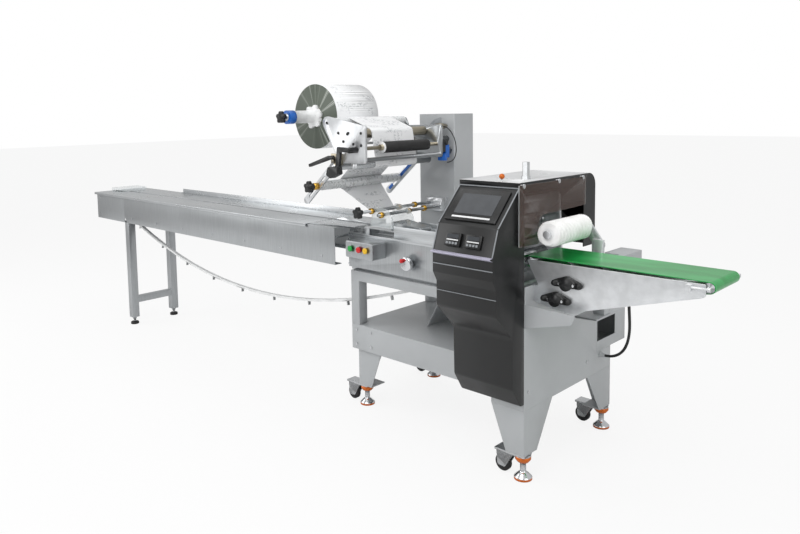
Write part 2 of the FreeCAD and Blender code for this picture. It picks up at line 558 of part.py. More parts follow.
# ---- Upper body ----------------------------------------------------------------------------------------------
def body():
    t = 3
    panel = plate("yz", [(FILM_FRONT, BODY_LOW), (FILM_FRONT, BODY_TOP), (FILM_FRONT + 30, BODY_TOP),
                         (FILM_FRONT + 30, BODY_TOP - t), (FILM_FRONT + t, BODY_TOP - t),
                         (FILM_FRONT + t, BODY_LOW + t), (FILM_FRONT + BODY_KICK + t, BODY_LOW + t),
                         (FILM_FRONT + BODY_KICK + t, FRAME_TOP), (FILM_FRONT + BODY_KICK, FRAME_TOP),
                         (FILM_FRONT + BODY_KICK, BODY_LOW)], BODY_LEFT, SEALER_LEFT)
    wheel_z, wheel_r = HANDWHEEL_Z, 9
    hub_bore = wheel_r + RUNNING_FIT
    panel = panel.cut(rod("y", (HANDWHEEL_X, wheel_z), hub_bore, FILM_FRONT - 1, FILM_FRONT + t + 1))
    rear = box(BODY_LEFT, SEALER_LEFT, BODY_REAR - t, BODY_REAR, FRAME_TOP, BODY_TOP)
    deck_low = BODY_TOP
    deck = box(BODY_LEFT, SEALER_LEFT, FILM_FRONT, BODY_REAR, deck_low, DECK_TOP)
    deck = deck.cut(box(BODY_LEFT - 1, CHAIN_HEAD_X + CHAIN_RADIUS + 25, -SLOT_HALF - 12, SLOT_HALF + 12,
                        deck_low - 1, DECK_TOP + 1))
    x0, x1, z0, z1 = BUTTON_BOX
    front = FILM_FRONT - BUTTON_BOX_DEPTH
    case = plate("xz", [(x0, z0), (x1, z0), (x1, z1), (x0, z1)], front, FILM_FRONT, 8)
    made = {}
    button_z = (z0 + z1) / 2 + 4
    stem = 7
    pocket = BUTTON_TRAVEL + 4
    for name, x in BUTTON_XS.items():
        case = case.cut(rod("y", (x, button_z), stem + RUNNING_FIT, front - 1, front + 16 + pocket))
        made[name] = [turned("y", (x, button_z), [
            (front + 16, 0), (front + 16, stem), (front - BUTTON_TRAVEL - 1, stem),
            (front - BUTTON_TRAVEL - 1, BUTTON_RADIUS), (front - BUTTON_PROUD + 2, BUTTON_RADIUS),
            (front - BUTTON_PROUD, BUTTON_RADIUS - 3), (front - BUTTON_PROUD, 0)])]
    wheel_front = FILM_FRONT - 34
    knob = turned("y", (HANDWHEEL_X, wheel_z), [
        (FILM_FRONT + 20, 0), (FILM_FRONT + 20, wheel_r), (FILM_FRONT - 3, wheel_r), (FILM_FRONT - 3, 22),
        (FILM_FRONT - 14, 22), (FILM_FRONT - 16, HANDWHEEL_RADIUS), (wheel_front + 3, HANDWHEEL_RADIUS),
        (wheel_front, HANDWHEEL_RADIUS - 3), (wheel_front, 0)])
    grip = turned("y", (HANDWHEEL_X, wheel_z + 17), [
        (wheel_front + 2, 0), (wheel_front + 2, 5), (wheel_front - 6, 5), (wheel_front - 8, 8),
        (wheel_front - 24, 9), (wheel_front - 28, 6), (wheel_front - 28, 0)])
    made.update({
        "body_panels": [panel, rear], "deck": [deck], "button_box": [case],
        "handwheel": [fuse(knob, grip)],
    })
    return made


# ---- Film head -----------------------------------------------------------------------------------------------
def arm_plate(start, end, slot):
    """Slotted flat arm between ARM_TOP and ARM_LOW, in the XZ plane."""
    x0, z0 = ARM_LOW
    x1, z1 = ARM_TOP
    half = ARM_WIDTH / 2
    arm = hull_plate([(x0, z0, half), (x1, z1, half)], start, end)
    if slot:
        def along(share):
            return x0 + (x1 - x0) * share, z0 + (z1 - z0) * share
        arm = arm.cut(hull_plate([(*along(0.12), 5.5), (*along(0.7), 5.5)], start - 1, end + 1))
    return arm


def roller(shape, start, end, over=0):
    """Plain roller on its own shaft, bored to run on it; the shaft belongs to the head plates."""
    x, z, radius = shape
    tube = rod("y", (x, z), radius, start, end, ROLLER_SHAFT + RUNNING_FIT)
    return tube if not over else fuse(tube, rod("y", (x, z), over, start - 14, start, ROLLER_SHAFT + RUNNING_FIT))


def film_head():
    column = box(COLUMN_LEFT, COLUMN_RIGHT, COLUMN_FRONT, BASE_REAR, FRAME_TOP + 12, COLUMN_TOP)
    column = column.makeFillet(6, [e for e in column.Edges if abs(e.tangentAt(e.FirstParameter).z) > 0.9])
    foot = box(COLUMN_LEFT - 30, COLUMN_RIGHT + 30, COLUMN_FRONT, BASE_REAR, FRAME_TOP, FRAME_TOP + 12)
    inner_front, inner_rear = HEAD_FRONT + HEAD_PLATE, HEAD_REAR - HEAD_PLATE
    outline = [(IDLER[0], IDLER[1], 27), (217, 1268, 12), (217, 1139, 12), (82, 1137, 12)]
    front_plate = hull_plate(outline, HEAD_FRONT, inner_front)
    rear_outline = [(20, 1240, 30), (217, 1262, 12), (217, 1139, 12), (82, 1137, 12)]
    rear_plate = hull_plate(rear_outline, inner_rear, HEAD_REAR)
    stays = [rod("y", (COLUMN_LEFT + 30, 1180), 14, HEAD_REAR, COLUMN_FRONT),
             rod("y", (COLUMN_RIGHT - 45, 1205), 14, HEAD_REAR, COLUMN_FRONT),
             rod("y", (COLUMN_RIGHT - 30, 1150), 14, HEAD_REAR, COLUMN_FRONT)]
    bars = [box(100, 150, inner_front, inner_rear, 1200, 1208), rod("y", (215, 1141), 9, inner_front, inner_rear)]
    reel_arm = hull_plate([(REEL_X, REEL_Z, 28), (135, 1204, 9), (-60, 1226, 20)],
                          REEL_SHAFT_REAR - REEL_ARM, REEL_SHAFT_REAR)
    reel_shaft = rod("y", (REEL_X, REEL_Z), REEL_SHAFT_RADIUS, REEL_SHAFT_FRONT, REEL_SHAFT_REAR)
    reach = {"front": inner_front + 3, "rear": inner_rear - 3}
    shafts, rollers = [], {}
    for name, shape in (("idler_roller", IDLER), ("wrap_roller", WRAP_ROLLER)):
        shafts.append(rod("y", shape[:2], ROLLER_SHAFT, inner_front, inner_rear))
        rollers[name] = [roller(shape, reach["front"], reach["rear"])]
    shafts.append(rod("y", RUBBER_ROLLER[:2], ROLLER_SHAFT, inner_front, inner_rear))
    shafts.append(rod("y", LOWER_ROLLER[:2], LOWER_ROLLER[2], inner_front, inner_rear))
    rollers["rubber_roller"] = [fuse(roller(RUBBER_ROLLER, -124, 160),
                                     rod("y", RUBBER_ROLLER[:2], 13, -136, -124, ROLLER_SHAFT + RUNNING_FIT))]
    idler_bearer = hull_plate([(IDLER[0], IDLER[1], 16), (20, 1240, 20)], inner_rear, HEAD_REAR)
    frame = fuse(front_plate, rear_plate, idler_bearer, *stays, *bars, *shafts, reel_arm, reel_shaft)

    arm_y = (DANCER_FRONT, DANCER_FRONT + ARM_THICK), (DANCER_REAR - ARM_THICK, DANCER_REAR)
    dancer_arms = [arm_plate(*arm_y[0], True), arm_plate(*arm_y[1], True)]
    dancer_shaft = rod("y", DANCER_ROLLER[:2], ROLLER_SHAFT, arm_y[0][1], arm_y[1][0])
    arm_x, arm_z = ARM_TOP
    blocks = [box(arm_x - 16, arm_x + 44, DANCER_FRONT + ARM_THICK, HEAD_FRONT, arm_z + 10, arm_z + 56),
              box(arm_x - 16, arm_x + 44, HEAD_REAR, DANCER_REAR - ARM_THICK, arm_z + 10, arm_z + 56)]
    arm_shaft = rod("y", ARM_TOP, ROLLER_SHAFT, arm_y[0][1], arm_y[1][0])
    sleeve = rod("y", ARM_TOP, ARM_SLEEVE, HEAD_FRONT + 4, HEAD_REAR - 4)
    arms = fuse(*dancer_arms, dancer_shaft, arm_shaft, sleeve, *blocks)
    rollers["dancer_roller"] = [roller(DANCER_ROLLER, arm_y[0][1] + 14, arm_y[1][0] - 14)]

    bore = REEL_SHAFT_RADIUS + RUNNING_FIT
    film = rod("y", (REEL_X, REEL_Z), REEL_RADIUS, -FILM_HALF, FILM_HALF, CORE_RADIUS)
    core = rod("y", (REEL_X, REEL_Z), CORE_RADIUS, -FILM_HALF - 3, FILM_HALF + 3, CORE_RADIUS - CORE_WALL)
    chucks = []
    for side in (-1, 1):
        face = side * (FILM_HALF + 3)
        depth = sorted((face + side * 16, face))
        teeth = [rod("y", (REEL_X + 42 * math.cos(a), REEL_Z + 42 * math.sin(a)), 13, *depth)
                 for a in (math.radians(60 * k + 10) for k in range(6))]
        disc = rod("y", (REEL_X, REEL_Z), 44, *depth)
        boss = rod("y", (REEL_X, REEL_Z), CORE_RADIUS - CORE_WALL, *sorted((face, face - side * 40)))
        chuck = fuse(disc, *teeth, boss)
        if side < 0:
            chuck = fuse(chuck, rod("y", (REEL_X, REEL_Z), SLEEVE_RADIUS, SLEEVE_FRONT, face - 16),
                         rod("y", (REEL_X, REEL_Z), RING_RADIUS, RING_FRONT, SLEEVE_FRONT))
        chucks.append(chuck.cut(rod("y", (REEL_X, REEL_Z), bore, RING_FRONT - 1, REEL_SHAFT_REAR)))
    knob = star_knob((REEL_X, REEL_Z), REEL_SHAFT_FRONT, 26, 9)

    path = [(REEL_X, REEL_Z, -REEL_RADIUS), IDLER, WRAP_ROLLER, LOWER_ROLLER, (*ARM_TOP, -ARM_SLEEVE),
            (DANCER_ROLLER[0], DANCER_ROLLER[1], -DANCER_ROLLER[2]), (FOLD_X, FOLD_Z, 4), (FOLD_X + 1, FOLD_Z - 12, 4)]

    def skin(left):
        extra = FILM_GAP + (FILM_THICK if left else 0)
        back = FILM_GAP + (0 if left else FILM_THICK)
        return web_edges([(x, z, r + extra if r > 0 else r - back) for x, z, r in path], False)

    left, right = skin(True), skin(False)
    ends = [Part.makeLine(left[0].valueAt(left[0].FirstParameter), right[0].valueAt(right[0].FirstParameter)),
            Part.makeLine(left[-1].valueAt(left[-1].LastParameter), right[-1].valueAt(right[-1].LastParameter))]
    web = Part.Face(Part.Wire(Part.__sortEdges__(left + right + ends))).extrude(Y_AXIS * 2 * FILM_HALF)
    web.translate(Vector(0, -FILM_HALF, 0))

    clamp_knob = star_knob(DANCER_ROLLER[:2], DANCER_FRONT - 26, 25, 8)
    washer = rod("y", DANCER_ROLLER[:2], 15, DANCER_FRONT - 26, DANCER_FRONT)
    lever_z = arm_z + 40
    lever = fuse(rod("y", (arm_x, lever_z), 9, HEAD_FRONT - 26, DANCER_FRONT + ARM_THICK),
                 plate("xz", [(arm_x - 4, lever_z + 9), (arm_x + 9, lever_z - 6), (-78, 1104), (-84, 1116)],
                       HEAD_FRONT - 38, HEAD_FRONT - 26, 4))
    fold_knob = star_knob(ROD_ZS[0], ROD_FRONT, 25, 9)
    crank = fuse(rod("y", (178, 1182), 12, HEAD_FRONT - 44, HEAD_FRONT),
                 plate("xz", [(120, 1196), (190, 1192), (190, 1174), (138, 1176), (126, 1096), (106, 1100)],
                       HEAD_FRONT - 56, HEAD_FRONT - 44, 5),
                 plate("xz", [(78, 1112), (134, 1120), (140, 1086), (92, 1066), (66, 1080)],
                       HEAD_FRONT - 72, HEAD_FRONT - 44, 7))
    return {
        "film_column": [fuse(column, foot)], "film_head_frame": [frame], "dancer_arms": [arms],
        "film_reel": [fuse(film, core, *chucks)], "film_web": [web],
        "knobs_and_levers": [knob, fuse(clamp_knob, washer), lever, crank, fold_knob], **rollers, **sensor(),
    }


def star_knob(centre, face, radius, stem):
    """Five-lobed knob that screws up to a face, pointing to the operator."""
    x, z = centre
    lobes = [rod("y", (x + 0.68 * radius * math.cos(a), z + 0.68 * radius * math.sin(a)), radius * 0.36,
                 face - 30, face - 14) for a in (math.radians(72 * k + 18) for k in range(5))]
    return fuse(rod("y", (x, z), radius * 0.72, face - 32, face - 12), *lobes,
                rod("y", (x, z), stem, face - 14, face))


def sensor():
    """Print-mark sensor on a bent plate between the head and the column."""
    face = HEAD_REAR + 46
    bracket = plate("xz", [(72, 1240), (140, 1294), (180, 1306), (184, 1256), (86, 1226)], face, face + 4, 5)
    post = rod("y", (150, 1258), 9, HEAD_REAR, face)
    body = fuse(rod("y", SENSOR_AT, 10, face - 34, face + 24), box(160, 200, face - 20, face, 1252, 1276))
    clamp = fuse(box(206, 228, HEAD_REAR, HEAD_REAR + 20, 1150, 1206),
                 rod("y", (217, 1190), 15, HEAD_REAR + 20, HEAD_REAR + 34))
    return {"print_sensor": [fuse(bracket, post, body), clamp]}


# ---- Folding box ---------------------------------------------------------------------------------------------
def folding_box():
    cheeks = []
    for side in (-1, 1):
        near, far = sorted((side * FOLD_HALF, side * (FOLD_HALF + 8)))
        cheeks.append(plate("xz", [(FOLD_LEFT + 30, TRAY_TOP + 6), (FOLD_RIGHT, TRAY_TOP + 6), (FOLD_RIGHT, 872),
                                   (172, 915), (96, 926), (FOLD_LEFT + 40, 900)], near, far, [0, 0, 8, 8, 8, 8]))
    def section(x, half, low, high):
        return Part.makePolygon([Vector(x, y, z) for y, z in
                                 ((-half, low), (half, low), (half, high), (-half, high), (-half, low))])
    outer = Part.makeLoft([section(FOLD_RIGHT - 20, FOLD_HALF - 8, TRAY_TOP, 862),
                           section(FOLD_RIGHT + 130, 34, TRAY_TOP, 846)], True, True)
    inner = Part.makeLoft([section(FOLD_RIGHT - 20, FOLD_HALF - 10, TRAY_TOP - 2, 860),
                           section(FOLD_RIGHT + 130, 32, TRAY_TOP - 2, 844)], True, True)
    rods = [rod("y", (x, z), ROD_RADIUS, ROD_FRONT + ROD_STEP * i, COLUMN_FRONT - 30)
            for i, (x, z) in enumerate(ROD_ZS)]
    rear_block = box(ROD_ZS[0][0] - 24, ROD_ZS[1][0] + 24, COLUMN_FRONT - 30, COLUMN_FRONT, 868, 930)
    nuts = [rod("y", (x, z), 13, y, y + 14) for x, z in ROD_ZS for y in (-92, 84, 190)]
    carrier = fuse(rear_block, *rods, *nuts)
    cheeks = [c.cut(fuse(*rods)) for c in cheeks]
    channel = []
    for side in (-1, 1):
        y0, y1 = sorted((side * 14, side * CHANNEL_HALF))
        w0, w1 = sorted((side * CHANNEL_HALF, side * (CHANNEL_HALF + 3)))
        floor = box(FOLD_LEFT, SEALER_LEFT, y0, y1, TRAY_TOP - 3, TRAY_TOP)
        wall = box(FOLD_LEFT + 180, SEALER_LEFT, w0, w1, DECK_TOP, TRAY_TOP + 22)
        foot = box(FOLD_LEFT, FOLD_LEFT + 30, y0, y1, DECK_TOP, TRAY_TOP - 3)
        foot_2 = box(FOLD_LEFT + 400, FOLD_LEFT + 430, y0, y1, DECK_TOP, TRAY_TOP - 3)
        channel.append(fuse(floor, wall, foot, foot_2))
    return {
        "folding_box": [*cheeks, outer.cut(inner)], "fold_carrier": [carrier], "film_channel": channel,
    }


# ---- Control cabinet -----------------------------------------------------------------------------------------
CABINET_PROFILE = [
    (HOOD_FRONT, CABINET_TOP), (-322, 940), (-355, 848), (-375, 845), (-355, 836), (-355, 769), (-335, 734),
    (-335, 643), (-240, 547), (-237, 364), (-190, 290), (SEALER_FRONT, 290), (SEALER_FRONT, CABINET_TOP),
]
CABINET_RADII = [0, 12, 0, 2, 0, 10, 12, 22, 40, 26, 14, 0, 0]


def on_slope(start, end, share, lift):
    """Point on the line between two profile points, lifted off it towards the operator."""
    (y0, z0), (y1, z1) = start, end
    length = math.hypot(y1 - y0, z1 - z0)
    ny, nz = (z1 - z0) / length, -(y1 - y0) / length
    if ny > 0:
        ny, nz = -ny, -nz
    return y0 + (y1 - y0) * share + ny * lift, z0 + (z1 - z0) * share + nz * lift


def slope_block(start, end, share0, share1, low, high, x0, x1, radius=0):
    """Block that lies on a sloping face of the cabinet, between two shares of its height."""
    points = [on_slope(start, end, share0, low), on_slope(start, end, share1, low),
              on_slope(start, end, share1, high), on_slope(start, end, share0, high)]
    return plate("yz", points, x0, x1, radius)


def cabinet():
    shell = plate("yz", CABINET_PROFILE, SEALER_LEFT, BASE_RIGHT, CABINET_RADII)
    top, knee, ledge = CABINET_PROFILE[:3]
    x0, x1 = SEALER_LEFT, BASE_RIGHT
    bezel = slope_block(top, knee, 0.12, 0.9, 0.3, 7, x0 + 20, x1 - 20)
    controllers = [slope_block(knee, ledge, 0.3, 0.78, 0.3, 9, x, x + 66, 0) for x in (x0 + 52, x0 + 140)]
    return {"control_cabinet": [shell], "operator_panel": [bezel, *controllers]}


# ---- End sealer ----------------------------------------------------------------------------------------------
def jaw(centre_z, reach, inward):
    """Rotary jaw: hub on a shaft, one blade towards the product and a counterweight behind it."""
    hub = rod("y", (JAW_X, centre_z), 30, -JAW_HALF, JAW_HALF)
    blade_z = sorted((centre_z, centre_z + inward * reach))
    blade = box(JAW_X - JAW_BLADE, JAW_X + JAW_BLADE, -JAW_HALF + 8, JAW_HALF - 8, *blade_z)
    shaft = rod("y", (JAW_X, centre_z), JAW_SHAFT, -SEALER_PLATE_Y - SEALER_PLATE, SEALER_PLATE_Y + SEALER_PLATE)
    gear = rod("y", (JAW_X, centre_z), 62, SEALER_PLATE_Y + SEALER_PLATE, SEALER_PLATE_Y + SEALER_PLATE + 16)
    return fuse(hub, blade, shaft, gear)


def sealer():
    hood = plate("yz", [(HOOD_FRONT, HOOD_TOP), (HOOD_REAR, HOOD_TOP), (HOOD_REAR, HOOD_LOW),
                        (HOOD_REAR - HOOD_FRAME, HOOD_LOW), (HOOD_REAR - HOOD_FRAME, CABINET_TOP),
                        (HOOD_FRONT, CABINET_TOP)], SEALER_LEFT, BASE_RIGHT,
                 [2, HOOD_RADIUS, 0, 0, HOOD_RADIUS - HOOD_FRAME, 0])
    wall_t = 3
    inner = [(SEALER_FRONT, HOOD_LOW), (HOOD_REAR - HOOD_FRAME, HOOD_LOW), (HOOD_REAR - HOOD_FRAME, CABINET_TOP),
             (SEALER_FRONT, CABINET_TOP)]
    radius = HOOD_RADIUS - HOOD_FRAME
    left_wall = plate("yz", inner, SEALER_LEFT, SEALER_LEFT + wall_t, [0, 0, radius, 0])
    left_wall = left_wall.cut(box(SEALER_LEFT - 1, SEALER_LEFT + wall_t + 1, -110, 110, HOOD_LOW - 1, 930))
    band = 20
    right_wall = plate("yz", inner, BASE_RIGHT - wall_t, BASE_RIGHT, [0, 0, radius, 0])
    right_wall = right_wall.cut(box(BASE_RIGHT - wall_t - 1, BASE_RIGHT + 1, SEALER_FRONT - 1, WINDOW_REAR,
                                    HOOD_LOW - 1, CABINET_TOP - band))
    pane = plate("yz", [(-217, HOOD_TOP - 7), (-217, 865), (-91, 862), (-91, 962), (WINDOW_REAR - 9, 968), (WINDOW_REAR - 9, HOOD_TOP - 9)],
                 PANE_X, PANE_X + PANE_THICK, [4, 4, 8, 34, 6, 6])
    studs = [rod("x", (y, z), 5, BASE_RIGHT, PANE_X) for y, z in ((-190, 1074), (40, 1074), (215, 1074))]
    deck = box(SEALER_LEFT, BASE_RIGHT - SHEET, SEALER_FRONT, HOOD_REAR, FRAME_TOP, FRAME_TOP + 10)
    plates = []
    for side in (-1, 1):
        y0, y1 = sorted((side * SEALER_PLATE_Y, side * (SEALER_PLATE_Y + SEALER_PLATE)))
        cheek = plate("xz", [(SEALER_LEFT + 30, FRAME_TOP + 10), (BASE_RIGHT - 30, FRAME_TOP + 10),
                             (BASE_RIGHT - 46, 1022), (SEALER_LEFT + 46, 1022)], y0, y1, [0, 0, 14, 14])
        for z in (JAW_LOW_Z, JAW_HIGH_Z):
            cheek = cheek.cut(rod("y", (JAW_X, z), JAW_SHAFT + RUNNING_FIT, y0 - 1, y1 + 1))
        plates.append(cheek)
    beam = box(JAW_X - 40, JAW_X + 40, -SEALER_PLATE_Y, SEALER_PLATE_Y, 992, 1016)
    ties = [rod("y", (x, 700), 10, -SEALER_PLATE_Y, SEALER_PLATE_Y) for x in (JAW_X - 70, JAW_X + 70)]
    frame = fuse(deck, *plates, beam, *ties)
    reach = math.sqrt(((JAW_HIGH_Z - JAW_LOW_Z) / 2 - JAW_GAP / 2) ** 2 - JAW_BLADE ** 2)
    low_jaw, high_jaw = jaw(JAW_LOW_Z, reach, 1), jaw(JAW_HIGH_Z, reach, -1)
    turn = 50
    low_jaw.rotate(Vector(JAW_X, 0, JAW_LOW_Z), Y_AXIS, turn)
    high_jaw.rotate(Vector(JAW_X, 0, JAW_HIGH_Z), Y_AXIS, -turn)
    knob_x, knob_y = HOOD_KNOB
    knob = fuse(rod("z", (knob_x, knob_y), 3, HOOD_TOP, HOOD_TOP + 12),
                Part.makeSphere(10, Vector(knob_x, knob_y, HOOD_TOP + 19)))
    post = fuse(rod("z", SPRING_POST, 13, HOOD_TOP, HOOD_TOP + 62), rod("z", SPRING_POST, 16, HOOD_TOP, HOOD_TOP + 12))
    return {
        "sealer_hood": [fuse(hood, left_wall, right_wall, *studs, knob, post)], "hood_window": [pane],
        "sealer_frame": [frame], "lower_jaw": [low_jaw], "upper_jaw": [high_jaw],
    }


# ---- Outfeed -------------------------------------------------------------------------------------------------
def flange_bearing(x, z, face, out):
    """Two-bolt oval flange bearing on a side plate; out is the direction away from the plate."""
    body = hull_plate([(x - 46, z, 11), (x, z, 28), (x + 46, z, 11)], *sorted((face, face + out * 11)))
    hub = rod("y", (x, z), 22, *sorted((face + out * 11, face + out * 20)))
    bolts = [rod("y", (x + dx, z), 8, *sorted((face + out * 11, face + out * 18))) for dx in (-46, 46)]
    return fuse(body, hub, *bolts)


def outfeed():
    inner, t = OUTFEED_PLATE_Y, OUTFEED_SHEET
    end_x, roller_z = OUTFEED_END - END_RADIUS - BELT_THICK, BELT_TOP - BELT_THICK - END_RADIUS
    start_x = OUTFEED_START + END_RADIUS + BELT_THICK
    rollers = [(start_x, roller_z, END_RADIUS), (end_x, roller_z, END_RADIUS), DRIVE]

    def loop(extra):
        return Part.Face(Part.Wire(Part.__sortEdges__(web_edges([(x, z, r + extra) for x, z, r in rollers], True))))

    belt = loop(BELT_THICK + 0.3).cut(loop(0.3)).extrude(Y_AXIS * 2 * BELT_HALF)
    belt.translate(Vector(0, -BELT_HALF, 0))
    outline = [(899, 805), (1516, 810), (1517, 770), (1128, 658), (1086, 633), (943, 652), (943, 725)]
    plates = []
    for side in (-1, 1):
        y0, y1 = sorted((side * inner, side * (inner + t)))
        side_plate = plate("xz", outline, y0, y1, [4, 6, 14, 20, 20, 0, 14])
        foot_y = sorted((side * inner, side * (inner - 16)))
        foot = box(BASE_RIGHT + SHEET, 962, *foot_y, 656, 716)
        lug_y = side * (inner + t + 9)
        lug = box(end_x - 60, end_x - 44, *sorted((side * (inner + t), side * (inner + t + 16))), 786, 806)
        bolt = fuse(rod("x", (lug_y, roller_z), 4, end_x - 60, OUTFEED_END - 6),
                    rod("x", (lug_y, roller_z), 7, OUTFEED_END - 16, OUTFEED_END - 6))
        plates.append(fuse(side_plate, foot, lug, bolt))
    plates[1] = fuse(plates[1], brush_post())
    shafts = [rod("y", (x, z), r, -BELT_HALF - 4, BELT_HALF + 4) for x, z, r in rollers]
    pins = [rod("y", (x, z), 7, -inner, inner) for x, z, _ in rollers[:2]]
    drive_pin = rod("y", DRIVE[:2], 10, -inner, inner)
    turning = [fuse(shafts[0], pins[0]), fuse(shafts[1], pins[1]), fuse(shafts[2], drive_pin),
               fuse(rod("y", LOWER_SHAFT, 20, -90, 90), rod("y", LOWER_SHAFT, 10, -inner, inner))]
    bearings = [flange_bearing(x, z, side * (inner + t), side) for x, z in (DRIVE[:2], LOWER_SHAFT)
                for side in (-1, 1)]
    gusset = [(BASE_RIGHT, 654), (BRACKET_OUT, 650), (1103, 614), (BASE_RIGHT, 569)]
    bracket = fuse(
        plate("xz", gusset, SEALER_FRONT, SEALER_FRONT + t, [0, 4, 12, 0]),
        box(BASE_RIGHT, BASE_RIGHT + t, SEALER_FRONT, inner + 10, 569, 716),
        box(BASE_RIGHT, BRACKET_OUT - 60, SEALER_FRONT, SEALER_FRONT + 40, 626, 630))
    left, right, front, rear, low, high = DRIVE_COVER
    cover = fuse(box(left, right, front, rear, low, high), box(right - 24, right, inner + t, front, low, high),
                 rod("z", CABLE_POINTS[-1][:2], 9, CABLE_POINTS[-1][2], low + 1))
    return {
        "outfeed_side_plates": plates, "outfeed_belt": [belt], "outfeed_rollers": turning,
        "flange_bearings": bearings, "outfeed_bracket": [bracket], "outfeed_drive_cover": [cover],
    }


def brush_post():
    """Post with the brush arm's pivot pin, on the rear side plate of the outfeed."""
    px, pz = BRUSH_PIVOT
    return fuse(box(px - 22, px + 22, OUTFEED_PLATE_Y + OUTFEED_SHEET, BRUSH_ARM_Y - 1, 770, pz + 22),
                rod("y", (px, pz), 8, BRUSH_ARM_Y - 1, BRUSH_ARM_Y + 16))


def brush():
    px, pz = BRUSH_PIVOT
    arm_y = BRUSH_ARM_Y
    arm = hull_plate([(BRUSH_X, BRUSH_Z, 17), (px, pz, 20)], arm_y, arm_y + 8)
    arm = arm.cut(rod("y", (px, pz), 8 + RUNNING_FIT, arm_y - 1, arm_y + 9))
    bar = rod("y", (BRUSH_X, BRUSH_Z), BRUSH_SHAFT, BRUSH_FRONT - 14, arm_y)
    collar = rod("y", (BRUSH_X, BRUSH_Z), 14, BRUSH_FRONT - 14, BRUSH_FRONT - 4)
    bristles = rod("y", (BRUSH_X, BRUSH_Z), BRUSH_RADIUS, BRUSH_FRONT, BRUSH_REAR, BRUSH_SHAFT + RUNNING_FIT)
    return {"brush_arm": [fuse(arm, bar, collar)], "brush_roller": [bristles]}


def cables():
    return {
        "outfeed_cable": [cable(CABLE_POINTS, CABLE_RADIUS)],
        "sensor_cable": [cable(SENSOR_CABLE_POINTS, SENSOR_CABLE_RADIUS)],
    }


# ---- Assembly ------------------------------------------------------------------------------------------------
def model():
    """All nodes, moved so that the origin lies under the middle of the machine, and that move."""
    nodes = {}
    for section in (base, casters, rear_box, infeed, chain, body, film_head, folding_box, cabinet, sealer, outfeed,
                    brush, cables):
        nodes.update(section())
    whole = FreeCAD.BoundBox()
    for solids in nodes.values():
        for solid in solids:
            whole.add(solid.BoundBox)
    shift = Vector(-whole.Center.x, -whole.Center.y, -whole.ZMin)
    for solids in nodes.values():
        for solid in solids:
            solid.translate(shift)
    return nodes, shift, whole


def main():
    os.makedirs("parts", exist_ok=True)
    nodes, shift, whole = model()
    for name, solids in nodes.items():
        shape = solids[0] if len(solids) == 1 else Part.makeCompound(solids)
        shape.exportStep(f"parts/{name}.step")
    print(f"{len(nodes)} nodes, {whole.XLength:.0f} x {whole.YLength:.0f} x {whole.ZLength:.0f} mm, moved by "
          f"{shift.x:.2f}, {shift.y:.2f}, {shift.z:.2f}")


main()
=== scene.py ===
import bmesh
import bpy
import json
import math
from mathutils import Matrix, Vector


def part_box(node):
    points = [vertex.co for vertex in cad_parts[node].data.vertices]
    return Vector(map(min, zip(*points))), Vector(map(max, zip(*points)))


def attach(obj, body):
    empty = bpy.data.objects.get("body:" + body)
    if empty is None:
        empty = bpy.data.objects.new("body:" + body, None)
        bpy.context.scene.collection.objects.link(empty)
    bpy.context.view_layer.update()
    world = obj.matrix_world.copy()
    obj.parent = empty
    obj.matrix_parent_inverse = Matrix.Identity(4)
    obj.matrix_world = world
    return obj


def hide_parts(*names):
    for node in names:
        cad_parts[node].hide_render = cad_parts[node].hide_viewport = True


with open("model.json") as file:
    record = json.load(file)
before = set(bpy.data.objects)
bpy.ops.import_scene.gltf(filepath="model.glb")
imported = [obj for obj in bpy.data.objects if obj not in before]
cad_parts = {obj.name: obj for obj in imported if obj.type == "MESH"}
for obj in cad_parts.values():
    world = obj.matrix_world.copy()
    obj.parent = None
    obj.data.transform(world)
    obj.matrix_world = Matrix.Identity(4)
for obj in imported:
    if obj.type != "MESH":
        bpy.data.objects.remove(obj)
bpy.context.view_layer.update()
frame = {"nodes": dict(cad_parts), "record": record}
MACHINE = "machine"

# The drawing's own origin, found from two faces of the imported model.
RIGHT_FACE, COLUMN_REAR = 0.922, 0.480
SHIFT = Vector((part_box("rear_box")[1][0] - RIGHT_FACE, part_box("film_column")[1][1] - COLUMN_REAR, 0))


def at(x, y, z):
    """Point of the drawing, in millimetres, as a place in the row frame."""
    return Vector((x / 1000, y / 1000, z / 1000)) + SHIFT


def drawn(point):
    """Place in the row frame as drawing millimetres."""
    return (point - SHIFT) * 1000


# ---- Finishes ----------------------------------------------------------------------------------------------
def linear(colour):
    """Hex colour as linear RGBA."""
    parts = [int(colour[i:i + 2], 16) / 255 for i in (0, 2, 4)]
    return [c / 12.92 if c <= 0.04045 else ((c + 0.055) / 1.055) ** 2.4 for c in parts] + [1]


# Sockets that are numbered, because a Map Range node and a Mix node have several of each name.
FROM_LOW, FROM_HIGH, TO_LOW, TO_HIGH = 1, 2, 3, 4
MIX_SHARE, MIX_FIRST, MIX_SECOND, MIX_RESULT = 0, 6, 7, 2


class Value:
    """Output socket that can be added to and multiplied."""

    def __init__(self, finish, socket):
        self.finish, self.socket = finish, socket

    def maths(self, operation, *values):
        return self.finish.node("ShaderNodeMath", {"operation": operation}, dict(enumerate(values)))

    def __add__(self, other):
        return self.maths("ADD", self, other)

    def __mul__(self, other):
        return self.maths("MULTIPLY", self, other)


